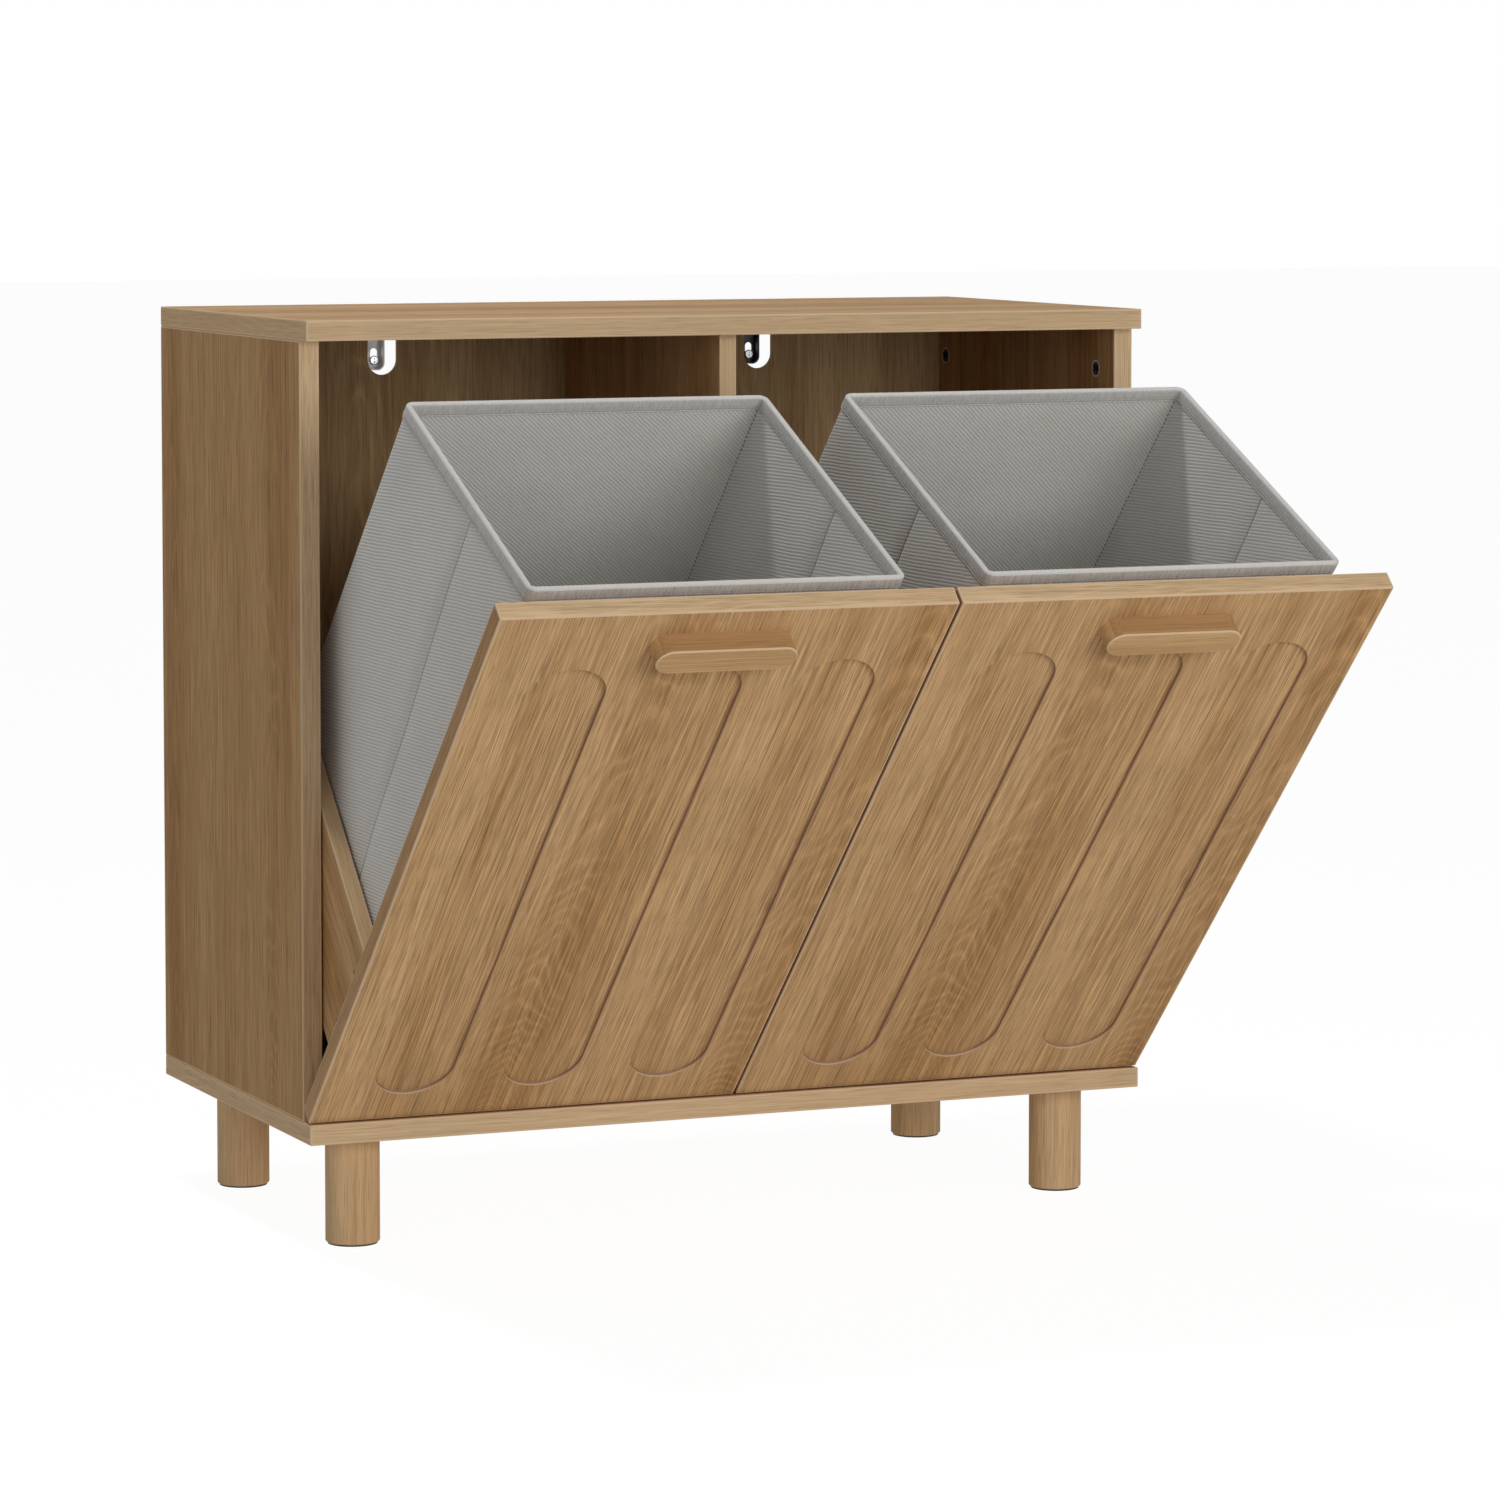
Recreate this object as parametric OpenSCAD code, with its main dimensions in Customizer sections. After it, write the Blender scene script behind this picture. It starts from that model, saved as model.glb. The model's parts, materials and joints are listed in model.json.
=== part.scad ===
// Bathroom laundry cabinet with two doors that tilt out, each carrying a tray and a fabric basket.
// Millimetres. X runs left to right, Y from the front to the back, Z up from the floor.
// The origin is on the floor, under the middle of the carcass.
// The doors are drawn where they rest when open; pieces on a door are laid out with the door
// shut, and are then tilted about the hinge pins.

/* [Carcass] */
// Width over the side panels
cabinet_w = 800; // [720:1:900]
// Depth of the top and bottom panels
cabinet_d = 418; // [405:1:460]
// Height from the floor to the top
cabinet_h = 812; // [790:1:860]
// Thickness of the top, bottom and side panels
board_t = 18; // [16:0.5:22]
// Thickness of the centre divider
divider_t = 16; // [12:0.5:20]
// How far the sides and the divider stand back from the front edge
front_setback = 19.4; // [18.6:0.1:24]
// Small chamfer along the edges of every board
edge_chamfer = 0.8; // [0.3:0.1:1.5]
// Thickness of the back panel
back_t = 4; // [3:0.5:6]
// From the rear edge to the back panel's rear face
back_inset = 15; // [12:0.5:24]
// Depth of the grooves that hold the back panel
back_groove = 6; // [4:0.5:8]

/* [Feet] */
// Diameter of a foot
foot_d = 48; // [36:1:60]
// Height of the wooden foot
foot_h = 96.5; // [60:0.5:130]
// Thickness of the pad under a foot
pad_t = 1.5; // [1:0.5:4]
// From the side of the cabinet to a foot's middle
foot_side_inset = 57.5; // [40:0.5:90]
// From the front edge to a front foot's middle
foot_front_inset = 56; // [40:0.5:90]
// From the rear edge to a back foot's middle
foot_back_inset = 54; // [40:0.5:90]
// Diameter of the bolt that holds a foot
foot_bolt_d = 8; // [6:1:10]
// Length of that bolt inside the foot
foot_bolt_l = 32; // [20:1:45]
// Length of that bolt inside the bottom panel
foot_bolt_top = 9; // [6:0.5:9]

/* [Doors] */
// Gap round and between the doors
door_gap = 2.8; // [2:0.1:4]
// Thickness of a door
door_t = 17.5; // [16:0.5:18]
// Angle at which an open door rests
open_angle = 45; // [30:1:45]
// Hinge pin above the door's lower edge
pivot_rise = 5.6; // [5.2:0.1:6.5]
// Hinge pin behind the door's front face
pivot_depth = 5.3; // [5.2:0.1:5.6]
// Width of a round-ended recess in the door's face
recess_w = 72; // [50:1:90]
// Distance between the middles of two recesses
recess_pitch = 118.3; // [100:0.1:125]
// Depth of the recesses
recess_depth = 4; // [1:0.5:5]
// From the door's lower edge to the recesses
recess_bottom = 35; // [25:1:80]
// From the door's upper edge to the recesses
recess_top = 66.4; // [60:0.1:120]

/* [Handles] */
// Length of a handle
handle_l = 122.5; // [100:0.5:180]
// Height of a handle, with round ends
handle_h = 27.2; // [18:0.1:36]
// How far a handle stands out from the door
handle_out = 19.5; // [14:0.5:30]
// From the door's upper edge to the middle of the handle
handle_drop = 39.3; // [30:0.1:50]
// Chamfer round a handle's front
handle_chamfer = 1.2; // [0.5:0.1:3]
// Distance between the two handle screws
handle_screw_pitch = 64; // [40:1:80]
// How deep the handle screws bite
handle_screw_grip = 11; // [6:0.5:14]

/* [Trays] */
// Thickness of the tray boards
tray_board_t = 15; // [12:0.5:18]
// Height of the tray boards
tray_h = 133; // [90:1:180]
// Tray above the door's lower edge
tray_rise = 45.5; // [42:0.5:60]
// Gap between a tray and the cabinet's side panel
tray_side_gap = 1.5; // [1:0.1:4]
// Thickness of the tray's base board
tray_base_t = 9; // [6:0.5:12]
// Base board above the lower edge of the tray
tray_base_rise = 9.5; // [6:0.5:20]
// Depth of the grooves that hold the base board
tray_groove = 5; // [3:0.5:6]

/* [Baskets] */
// Gap between a basket and the tray round it
basket_gap = 1.2; // [0.8:0.1:6]
// Depth of a basket from front to back
basket_d = 302; // [240:1:315]
// Height of a basket's front wall
basket_front_h = 602; // [500:1:606]
// Height of a basket's back wall
basket_back_h = 492; // [400:1:500]
// Thickness of a basket's padded walls
basket_wall = 3; // [2:0.5:5]
// Thickness of the loose base board inside a basket
basket_board_t = 2.5; // [2:0.5:4]

/* [Hinges] */
// From the side edge of a door to a hinge's middle
hinge_inset = 92; // [60:1:120]
// Diameter of a hinge pin
hinge_pin_d = 3; // [2.6:0.1:3.2]
// Wall of the hinge eye round the pin
hinge_eye_wall = 1.3; // [1:0.1:1.4]
// Width of the fixed hinge arm
hinge_arm_w = 8; // [6:0.5:10]
// Width of each cheek beside the arm
hinge_cheek_w = 7.5; // [5:0.5:9]
// Thickness of the hinge's base plate
hinge_plate_t = 2.5; // [2:0.1:2.7]
// Thickness of the leaf on the door's back
hinge_leaf_t = 1.5; // [1:0.1:1.6]
// Diameter of the stop bar between the cheeks
hinge_stop_d = 1.5; // [1.2:0.1:1.5]
// Width of the hinge's base plate
plate_w = 24; // [20:1:30]
// Length of the hinge's base plate
plate_l = 38; // [36:1:60]
// From the base plate's front to its first screw
plate_screw_front = 21; // [20:0.5:22]
// Distance between the two base plate screws
plate_screw_pitch = 11; // [9:0.5:12]
// Length of the base plate screws
plate_screw_l = 11; // [8:0.5:11]
// Top of the leaf above the door's lower edge
leaf_top = 42; // [38:0.5:42]
// Length of the leaf screws
leaf_screw_l = 12; // [9:0.5:13]

/* [Fittings] */
// Diameter of a cam lock
cam_d = 16; // [12:0.5:18]
// From the edge of a carcass panel to a cam lock's middle
cam_inset = 38; // [30:1:44]
// From the front edge of a side panel to the first cam lock
cam_front = 37.6; // [30:0.1:60]
// From the rear edge of a side panel to the last cam lock
cam_rear = 34; // [32:1:70]
// From the door to the middle of a tray's cam locks
tray_cam_inset = 34.5; // [28:0.5:45]
// Distance between the two cam locks of a tray board
tray_cam_pitch = 67; // [50:1:75]
// Diameter of a cam lock in the tray boards
tray_cam_d = 15; // [12:0.5:15]
// Diameter of the sight hole behind a tray's cam lock
sight_hole_d = 5.5; // [4:0.5:8]
// Diameter of a cam bolt's shaft
cam_bolt_d = 6; // [5:0.5:7]
// Length of a cam bolt's thread in the neighbouring board
cam_bolt_thread = 11; // [8:1:12]
// Diameter of a wooden dowel
dowel_d = 8; // [6:1:10]
// Length of a wooden dowel
dowel_l = 24; // [20:1:24]
// Length of the screws through a tray's side boards
tray_screw_l = 40; // [30:1:50]
// From the lower edge of a tray to its lower screws
tray_screw_low = 36; // [30:1:40]
// From the upper edge of a tray to its upper screws
tray_screw_high = 26; // [15:1:40]
// From the side of a tray's front board to its screws
tray_front_screw_inset = 60; // [30:1:90]
// How deep the front board's screws go into the door
tray_front_bite = 10; // [6:0.5:11]
// Distance from a cam lock to the dowel beside it
dowel_pitch = 32; // [24:1:40]

/* [Wall brackets] */
// From the middle of the cabinet to the middle of a bracket's notch
bracket_x = 190.5; // [150:0.5:260]
// How far both wall brackets sit to the right of their notches' middles
bracket_shift = -2.8; // [-4:0.1:4]
// Width of a wall bracket
bracket_w = 15; // [14:0.5:19]
// How far a wall bracket hangs below the top
bracket_h = 44; // [38:1:46]
// Sheet thickness of a wall bracket
bracket_t = 1.5; // [1:0.1:2]
// Depth of the raised rim round a wall bracket, on its right
bracket_rim = 11; // [6:0.5:14]
// Depth of the same rim on its left
bracket_low_rim = 4; // [2:0.5:6]
// Length of the flange that is screwed under the top
bracket_flange = 34; // [30:1:40]
// Width of the slot for the wall screw
slot_w = 7; // [5:0.5:7]
// Length of the slot for the wall screw
slot_l = 15; // [12:0.5:18]
// From the top to the upper end of the slot
slot_drop = 23.5; // [20:0.5:25]
// Width of the notch in the back panel
notch_w = 29; // [28:1:40]
// Height of the notch below the top
notch_h = 48; // [47:1:60]

/* [Hidden] */
$fn = 64;

oak = [0.72, 0.58, 0.41];
oak_inside = [0.50, 0.38, 0.26];
steel = [0.72, 0.73, 0.75];
dark_steel = [0.22, 0.22, 0.23];
felt_black = [0.07, 0.07, 0.07];
beech = [0.80, 0.66, 0.46];
grey_fabric = [0.62, 0.61, 0.59];
grey_board = [0.45, 0.44, 0.42];

eps = 0.01;
cut = 1;
slip = 0.3;
screw_slip = 0.1;
pin_slip = 0.05;

// Heights and faces of the carcass
front_y = -cabinet_d / 2;
rear_y = cabinet_d / 2;
half_w = cabinet_w / 2;
carcass_z = foot_h + pad_t;
bay_z = carcass_z + board_t;
under_top_z = cabinet_h - board_t;
bay_h = under_top_z - bay_z;
side_y = front_y + front_setback;
side_d = cabinet_d - front_setback;
side_x = half_w - board_t;
back_rear_y = rear_y - back_inset;
back_front_y = back_rear_y - back_t;
bay_d = back_front_y - side_y;

// The door, shut: its middle across, its front face and its lower edge
door_w = (cabinet_w - door_gap) / 2;
door_h = bay_h - 2 * door_gap;
door_x = (door_gap + door_w) / 2;
door_z = bay_z + door_gap;
pivot_y = front_y + pivot_depth;
pivot_z = door_z + pivot_rise;

// The tray, in the door's own frame: middle across, front face, lower edge
tray_half = door_w / 2 - board_t - tray_side_gap;
tray_inner = tray_half - tray_board_t;
tray_l = 2 * tray_board_t + 2 * basket_gap + basket_d;
tray_base_z = tray_rise + tray_base_rise;
basket_half = tray_inner - basket_gap;
basket_y = door_t + tray_board_t + basket_gap;
basket_z = tray_base_z + tray_base_t + slip;

// The hinge, in the door's own frame
hinge_x = door_w / 2 - hinge_inset;
eye_r = hinge_pin_d / 2 + hinge_eye_wall;
cheek_gap = hinge_arm_w + 2 * slip;
hinge_w = cheek_gap + 2 * hinge_cheek_w;
pocket_w = hinge_w + 2 * slip;
pocket_y = pivot_depth - eye_r - 0.5;
cheek_y = pocket_y + slip;
cheek_low = 0.2;
cheek_top = pivot_rise + 6.1;
pocket_top = cheek_top + 0.6;
leaf_low = pivot_rise + eye_r + 2.4;
leaf_screw_low = 9;
leaf_screw_high = 7;
leaf_screw_z = [leaf_low + leaf_screw_low, leaf_top - leaf_screw_high];
plate_y = door_t + 3;
riser_w = 13;
riser_top = 4;
plate_screw_y = [for (i = [0, 1]) plate_y + plate_screw_front + i * plate_screw_pitch];
stop_reach = eye_r + hinge_stop_d / 2 + slip;
stop_along = 2.4;

// Fixings
screw_d = 4;
screw_head_d = 7;
screw_head_h = 2.2;
cam_depth = 12.5;
tray_cam_depth = 11.5;
cam_slot_w = 8;
cam_slot_h = 8;
cam_y = [side_y + cam_front, rear_y - cam_rear];
tray_screw_z = [tray_rise + tray_screw_low, tray_rise + tray_h - tray_screw_high];
tray_front_screw_x = tray_inner - tray_front_screw_inset;
tray_front_screw_z = tray_rise + tray_h / 2;
flange_screw_front = 7;
flange_screw_rear = 12;
flange_screw_bite = 13;
flange_screw_y = [flange_screw_front, bracket_flange - flange_screw_rear];
wall_screw_head_d = 8.6;
bracket_from_wall = 1;
bracket_relief = 3;
bracket_climb = 3;
wall_screw_rest = 0.2;

// Helpers

// A board with a small chamfer along every edge, from one corner at the origin.
module board(size, c = edge_chamfer) {
    intersection() {
        linear_extrude(size.z) bevelled([size.x, size.y], c);
        translate([0, size.y, 0]) rotate([90, 0, 0])
            linear_extrude(size.y) bevelled([size.x, size.z], c);
        rotate([90, 0, 90]) linear_extrude(size.x) bevelled([size.y, size.z], c);
    }
}

module bevelled(s, c) {
    polygon([[c, 0], [s.x - c, 0], [s.x, c], [s.x, s.y - c],
        [s.x - c, s.y], [c, s.y], [0, s.y - c], [0, c]]);
}

// A flat shape with two round ends, standing on Z and centred.
module upright_pill(l, w) {
    square([w, l - w], center = true);
    for (s = [-1, 1]) translate([0, s * (l - w) / 2]) circle(d = w);
}

// Extrudes a flat YZ outline along X, centred.
module across(w) {
    rotate([90, 0, 90]) linear_extrude(w, center = true) children();
}

// Cylinders along X and Y that start at the given point.
module rod_x(p, d, l) {
    translate(p) rotate([0, 90, 0]) cylinder(d = d, h = l);
}

module rod_y(p, d, l) {
    translate(p) rotate([-90, 0, 0]) cylinder(d = d, h = l);
}

module rod_z(p, d, l) {
    translate(p) cylinder(d = d, h = l);
}

// A screw that points along +Z from its head's underside; the head lies below Z = 0.
module screw(l, d = screw_d, head_d = screw_head_d, head_h = screw_head_h) {
    cylinder(d = d, h = l);
    translate([0, 0, -head_h]) difference() {
        union() {
            cylinder(d1 = head_d - 1.6, d2 = head_d, h = 0.8);
            translate([0, 0, 0.8]) cylinder(d = head_d, h = head_h - 0.8);
        }
        for (a = [0, 90]) rotate([0, 0, a])
            translate([-head_d * 0.3, -0.5, -cut]) cube([head_d * 0.6, 1, cut + 1.1]);
    }
}

// A flush screw: its countersunk head fills a cone whose wide face is at Z = 0.
module flush_screw(l, d = screw_d, head_d = screw_head_d) {
    difference() {
        union() {
            cylinder(d = d, h = l);
            cylinder(d1 = head_d, d2 = d, h = (head_d - d) / 2);
        }
        for (a = [0, 90]) rotate([0, 0, a])
            translate([-head_d * 0.28, -0.45, -cut]) cube([head_d * 0.56, 0.9, cut + 1]);
    }
}

// The hole of a flush screw.
module flush_hole(l, d = screw_d, head_d = screw_head_d) {
    cylinder(d = d + 2 * screw_slip, h = l);
    translate([0, 0, -eps])
        cylinder(d1 = head_d + 2 * screw_slip, d2 = d, h = (head_d - d) / 2 + screw_slip);
}

// A cam lock with its turning cross, lying in the XY plane with its face at Z = 0 and its body
// below; a channel towards +X takes the cam bolt.
module cam_lock(d, depth, bolt_z) {
    difference() {
        translate([0, 0, -depth]) cylinder(d = d - slip, h = depth);
        for (a = [45, 135]) rotate([0, 0, a])
            translate([-d * 0.3, -0.9, -1.6]) cube([d * 0.6, 1.8, 1.6 + cut]);
        translate([-cam_slot_w / 2, -cam_slot_w / 2, -bolt_z - cam_slot_h / 2])
            cube([d, cam_slot_w, cam_slot_h]);
    }
}

// A cam bolt along +X from the joint: shaft and head towards the cam, thread behind.
module cam_bolt(reach) {
    rod_x([-cam_bolt_thread, 0, 0], cam_bolt_d - 1, cam_bolt_thread + eps);
    rod_x([0, 0, 0], cam_bolt_d, reach - 3);
    rod_x([reach - 3 - eps, 0, 0], cam_bolt_d - 2, 2);
    rod_x([reach - 1 - eps, 0, 0], cam_bolt_d, 3);
}

// The holes that a cam joint leaves in the panel with the cam.
module cam_holes(d, depth, bolt_z, reach) {
    translate([0, 0, -depth]) cylinder(d = d, h = depth + cut);
    translate([0, 0, -bolt_z]) rod_x([0, 0, 0], cam_bolt_d + 2 * slip, reach + cut);
}

// Frames

// One door's own frame, laid out shut: middle across, front face and lower edge at the origin.
module at_door() {
    translate([-door_x, front_y, door_z]) children();
}

// Tilts a shut door's pieces to the open rest about the hinge pins.
module tilted() {
    translate([0, pivot_y, pivot_z]) rotate([open_angle, 0, 0])
        translate([0, -pivot_y, -pivot_z]) at_door() children();
}

// Draws a piece of the left door in its place, or mirrored for the right door.
module on_side(right) {
    mirror([right ? 1 : 0, 0, 0]) children();
}

// Foot places: front left, front right, back left, back right.
function foot_at(i) = [
    (i % 2 == 0 ? -1 : 1) * (half_w - foot_side_inset),
    i < 2 ? front_y + foot_front_inset : rear_y - foot_back_inset];

// Places and turns every joint between a standing panel and the panel above or below it:
// X points from the joint into the standing panel's cam, Z out of the panel's cam face.
module each_carcass_joint(side) {
    for (up = [0, 1]) translate([0, 0, up ? under_top_z : bay_z])
        for (y = cam_y) translate([0, y, 0])
            joint_turn(side, up) children();
}

// side is -1 for the left panel, 1 for the right panel and 0 for the divider, whose cams face
// the right bay.
module joint_turn(side, up) {
    face = side == -1 ? 1 : (side == 1 ? -1 : 1);
    x = side == 0 ? divider_t / 2 : side * side_x;
    translate([x, 0, 0]) multmatrix([
        [0, 0, face, 0],
        [0, 1, 0, 0],
        [up ? -1 : 1, 0, 0, 0],
        [0, 0, 0, 1]]) children();
}

function joint_t(side) = side == 0 ? divider_t : board_t;

// Dowels stand beside each cam, towards the middle of the panel's depth.
function dowel_shift(y) = y < 0 ? dowel_pitch : -dowel_pitch;

// Carcass

module top_panel() {
    color(oak) difference() {
        translate([-half_w, front_y, under_top_z]) board([cabinet_w, cabinet_d, board_t]);
        carcass_end_holes(under_top_z);
        translate([-side_x - back_groove, back_front_y - slip / 2, under_top_z - cut])
            cube([2 * (side_x + back_groove), back_t + slip, back_groove + cut]);
        for (s = [-1, 1], y = flange_screw_y)
            rod_z([bracket_at(s), bracket_front_y() + y, under_top_z - cut],
                screw_d + 2 * screw_slip, flange_screw_bite + cut);
    }
}

module bottom_panel() {
    color(oak) difference() {
        translate([-half_w, front_y, carcass_z]) board([cabinet_w, cabinet_d, board_t]);
        carcass_end_holes(bay_z);
        translate([-side_x - back_groove, back_front_y - slip / 2, bay_z - back_groove])
            cube([2 * (side_x + back_groove), back_t + slip, back_groove + cut]);
        for (i = [0:3]) rod_z([foot_at(i).x, foot_at(i).y, carcass_z - cut],
            foot_bolt_d + 2 * screw_slip, foot_bolt_top + cut);
        each_hinge() for (y = plate_screw_y)
            translate([0, front_y + y, bay_z - plate_screw_l + hinge_plate_t])
                cylinder(d = screw_d + 2 * screw_slip, h = plate_screw_l);
    }
}

// The pilot holes of cam bolts and dowels in the top or bottom panel.
module carcass_end_holes(face_z) {
    up = face_z == under_top_z;
    for (side = [-1, 0, 1], y = cam_y) {
        x = side * (half_w - board_t / 2);
        rod_z([x, y, face_z - (up ? cut : cam_bolt_thread)], cam_bolt_d - 1 + 2 * screw_slip,
            cam_bolt_thread + cut);
        rod_z([x, y + dowel_shift(y), face_z - (up ? cut : dowel_l / 2)],
            dowel_d + 2 * screw_slip, dowel_l / 2 + cut);
    }
}

module standing_panel(side) {
    t = joint_t(side);
    x = side == 0 ? -t / 2 : (side < 0 ? -half_w : side_x);
    depth = side == 0 ? bay_d : side_d;
    difference() {
        translate([x, side_y, bay_z]) board([t, depth, bay_h]);
        each_carcass_joint(side)
            translate([cam_inset, 0, 0]) mirror([1, 0, 0])
                cam_holes(cam_d, cam_depth, t / 2, cam_inset);
        for (y = cam_y)
            for (z = [bay_z - cut, under_top_z - dowel_l / 2])
                rod_z([x + t / 2, y + dowel_shift(y), z], dowel_d + 2 * screw_slip,
                    dowel_l / 2 + cut);
    }
}

// A groove for the back panel, in a side panel's inner face.
module side_panel(side) {
    color(oak) difference() {
        standing_panel(side);
        translate([side < 0 ? -side_x - back_groove : side_x - cut, back_front_y - slip / 2,
            bay_z - cut]) cube([back_groove + cut, back_t + slip, bay_h + 2 * cut]);
    }
}

module centre_divider() {
    color(oak_inside) standing_panel(0);
}

// The back panel has a round-ended notch for each wall bracket.
module back_panel() {
    reach = back_groove - slip;
    color(oak_inside) difference() {
        translate([-side_x - reach, back_front_y, bay_z - reach])
            cube([2 * (side_x + reach), back_t, bay_h + 2 * reach]);
        for (s = [-1, 1]) translate([s * bracket_x, back_front_y - cut, under_top_z - notch_h]) {
            rod_y([0, 0, notch_w / 2], notch_w, back_t + 2 * cut);
            translate([-notch_w / 2, 0, notch_w / 2])
                cube([notch_w, back_t + 2 * cut, notch_h + back_groove]);
        }
    }
}

// Feet

module foot(i) {
    c = 1.2;
    color(oak) difference() {
        translate([foot_at(i).x, foot_at(i).y, pad_t]) rotate_extrude()
            polygon([[0, 0], [foot_d / 2 - c, 0], [foot_d / 2, c], [foot_d / 2, foot_h], [0, foot_h]]);
        rod_z([foot_at(i).x, foot_at(i).y, carcass_z - foot_bolt_l], foot_bolt_d + 2 * screw_slip,
            foot_bolt_l + cut);
    }
}

module foot_pads() {
    color(felt_black) for (i = [0:3]) rod_z([foot_at(i).x, foot_at(i).y, 0], foot_d - 4, pad_t);
}

module foot_bolts() {
    color(steel) for (i = [0:3])
        rod_z([foot_at(i).x, foot_at(i).y, carcass_z - foot_bolt_l], foot_bolt_d,
            foot_bolt_l + foot_bolt_top);
}

// Carcass fittings

module cam_locks() {
    color(steel) for (side = [-1, 0, 1]) each_carcass_joint(side)
        translate([cam_inset, 0, 0]) mirror([1, 0, 0])
            cam_lock(cam_d, cam_depth, joint_t(side) / 2);
}

module cam_bolts() {
    color(steel) for (side = [-1, 0, 1]) each_carcass_joint(side)
        translate([0, 0, -joint_t(side) / 2]) cam_bolt(cam_inset - 1);
}

module dowels() {
    color(beech) for (side = [-1, 0, 1], y = cam_y)
        for (z = [bay_z, under_top_z])
            rod_z([side * (half_w - board_t / 2), y + dowel_shift(y), z - dowel_l / 2], dowel_d,
                dowel_l);
}

// Wall brackets

function bracket_at(s) = s * bracket_x + bracket_shift;

function bracket_rear_y() = rear_y - bracket_from_wall;

function bracket_front_y() = bracket_rear_y() - bracket_flange;

// Both brackets are the same pressing, with the tall side of the rim on the right.
module wall_bracket(side) {
    y = bracket_rear_y();
    z = under_top_z - bracket_h;
    color(side < 0 ? steel : dark_steel) translate([bracket_at(side), 0, 0]) difference() {
        union() {
            bracket_outline(y, z, bracket_w, bracket_t);
            difference() {
                bracket_outline(y, z, bracket_w, bracket_rim);
                translate([0, -bracket_t, 0]) bracket_outline(y, z + bracket_t,
                    bracket_w - 2 * bracket_t, bracket_rim);
                translate([-bracket_w, y - bracket_rim - cut,
                    under_top_z - bracket_t - bracket_relief])
                    cube([2 * bracket_w, bracket_rim - bracket_t + cut,
                        bracket_t + bracket_relief + cut]);
                bracket_low_side(y, z);
            }
            translate([-bracket_w / 2, bracket_front_y(), under_top_z - bracket_t])
                cube([bracket_w, bracket_flange, bracket_t]);
        }
        translate([0, y - bracket_t - cut, under_top_z - slot_drop - slot_l / 2])
            rotate([-90, 0, 0]) linear_extrude(bracket_t + 2 * cut) upright_pill(slot_l, slot_w);
        for (f = flange_screw_y)
            rod_z([0, bracket_front_y() + f, under_top_z - bracket_t - cut],
                screw_d + 2 * screw_slip, bracket_t + 2 * cut);
    }
}

// A plate with a round lower end, from its rear face forward.
module bracket_outline(y, z, w, depth) {
    translate([0, y - depth, z]) {
        rod_y([0, 0, w / 2], w, depth);
        translate([-w / 2, 0, w / 2]) cube([w, depth, under_top_z - z - w / 2]);
    }
}

// What is cut from the rim on the left; the rim climbs along the round end.
module bracket_low_side(y, z) {
    low = y - bracket_low_rim;
    out = y - bracket_rim - cut;
    translate([0, 0, z - cut]) linear_extrude(bracket_h + 2 * cut)
        polygon([[-bracket_w, low], [-bracket_climb, low], [bracket_climb, out], [-bracket_w, out]]);
}

module bracket_screws() {
    color(steel) for (s = [-1, 1], f = flange_screw_y)
        translate([bracket_at(s), bracket_front_y() + f, under_top_z - bracket_t])
            screw(flange_screw_bite + bracket_t);
}

// A screw waits at the lower end of each slot.
module wall_screws() {
    z = under_top_z - slot_drop - slot_l + slot_w / 2 + wall_screw_rest;
    color(dark_steel) for (s = [-1, 1])
        translate([bracket_at(s), bracket_rear_y() - bracket_t, z]) rotate([-90, 0, 0])
            screw(bracket_t + bracket_from_wall, screw_d, wall_screw_head_d);
}

// Hinges

// Repeats its children at every hinge of both doors, on the cabinet.
module each_hinge() {
    for (s = [-1, 1], h = [-1, 1]) translate([s * door_x + h * hinge_x, 0, 0]) children();
}

// Repeats its children at both hinges of one door, in the door's own frame.
module each_door_hinge() {
    for (h = [-1, 1]) translate([h * hinge_x, 0, 0]) children();
}

// The fixed arm: a screwed plate, a sloped riser and an eye round the pin.
module hinge_arms() {
    low = -door_gap;
    plate_top = low + hinge_plate_t;
    color(steel) each_hinge() translate([0, front_y, door_z]) difference() {
        union() {
            across(hinge_arm_w) union() {
                translate([pivot_depth, pivot_rise]) circle(r = eye_r);
                polygon([[pivot_depth, pivot_rise - eye_r], [plate_y, pivot_rise - eye_r],
                    [plate_y, low], [plate_y + riser_w, low], [plate_y + riser_w, plate_top],
                    [plate_y + riser_top, pivot_rise + eye_r], [pivot_depth, pivot_rise + eye_r]]);
            }
            translate([-plate_w / 2, plate_y, low]) cube([plate_w, plate_l, hinge_plate_t]);
        }
        rod_x([-hinge_arm_w, pivot_depth, pivot_rise], hinge_pin_d + 2 * pin_slip,
            2 * hinge_arm_w);
        for (y = plate_screw_y) translate([0, y, plate_top]) mirror([0, 0, 1])
            flush_hole(hinge_plate_t + cut);
    }
}

module hinge_plate_screws() {
    color(steel) each_hinge() for (y = plate_screw_y)
        translate([0, front_y + y, bay_z + hinge_plate_t]) mirror([0, 0, 1])
            flush_screw(plate_screw_l);
}

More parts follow.
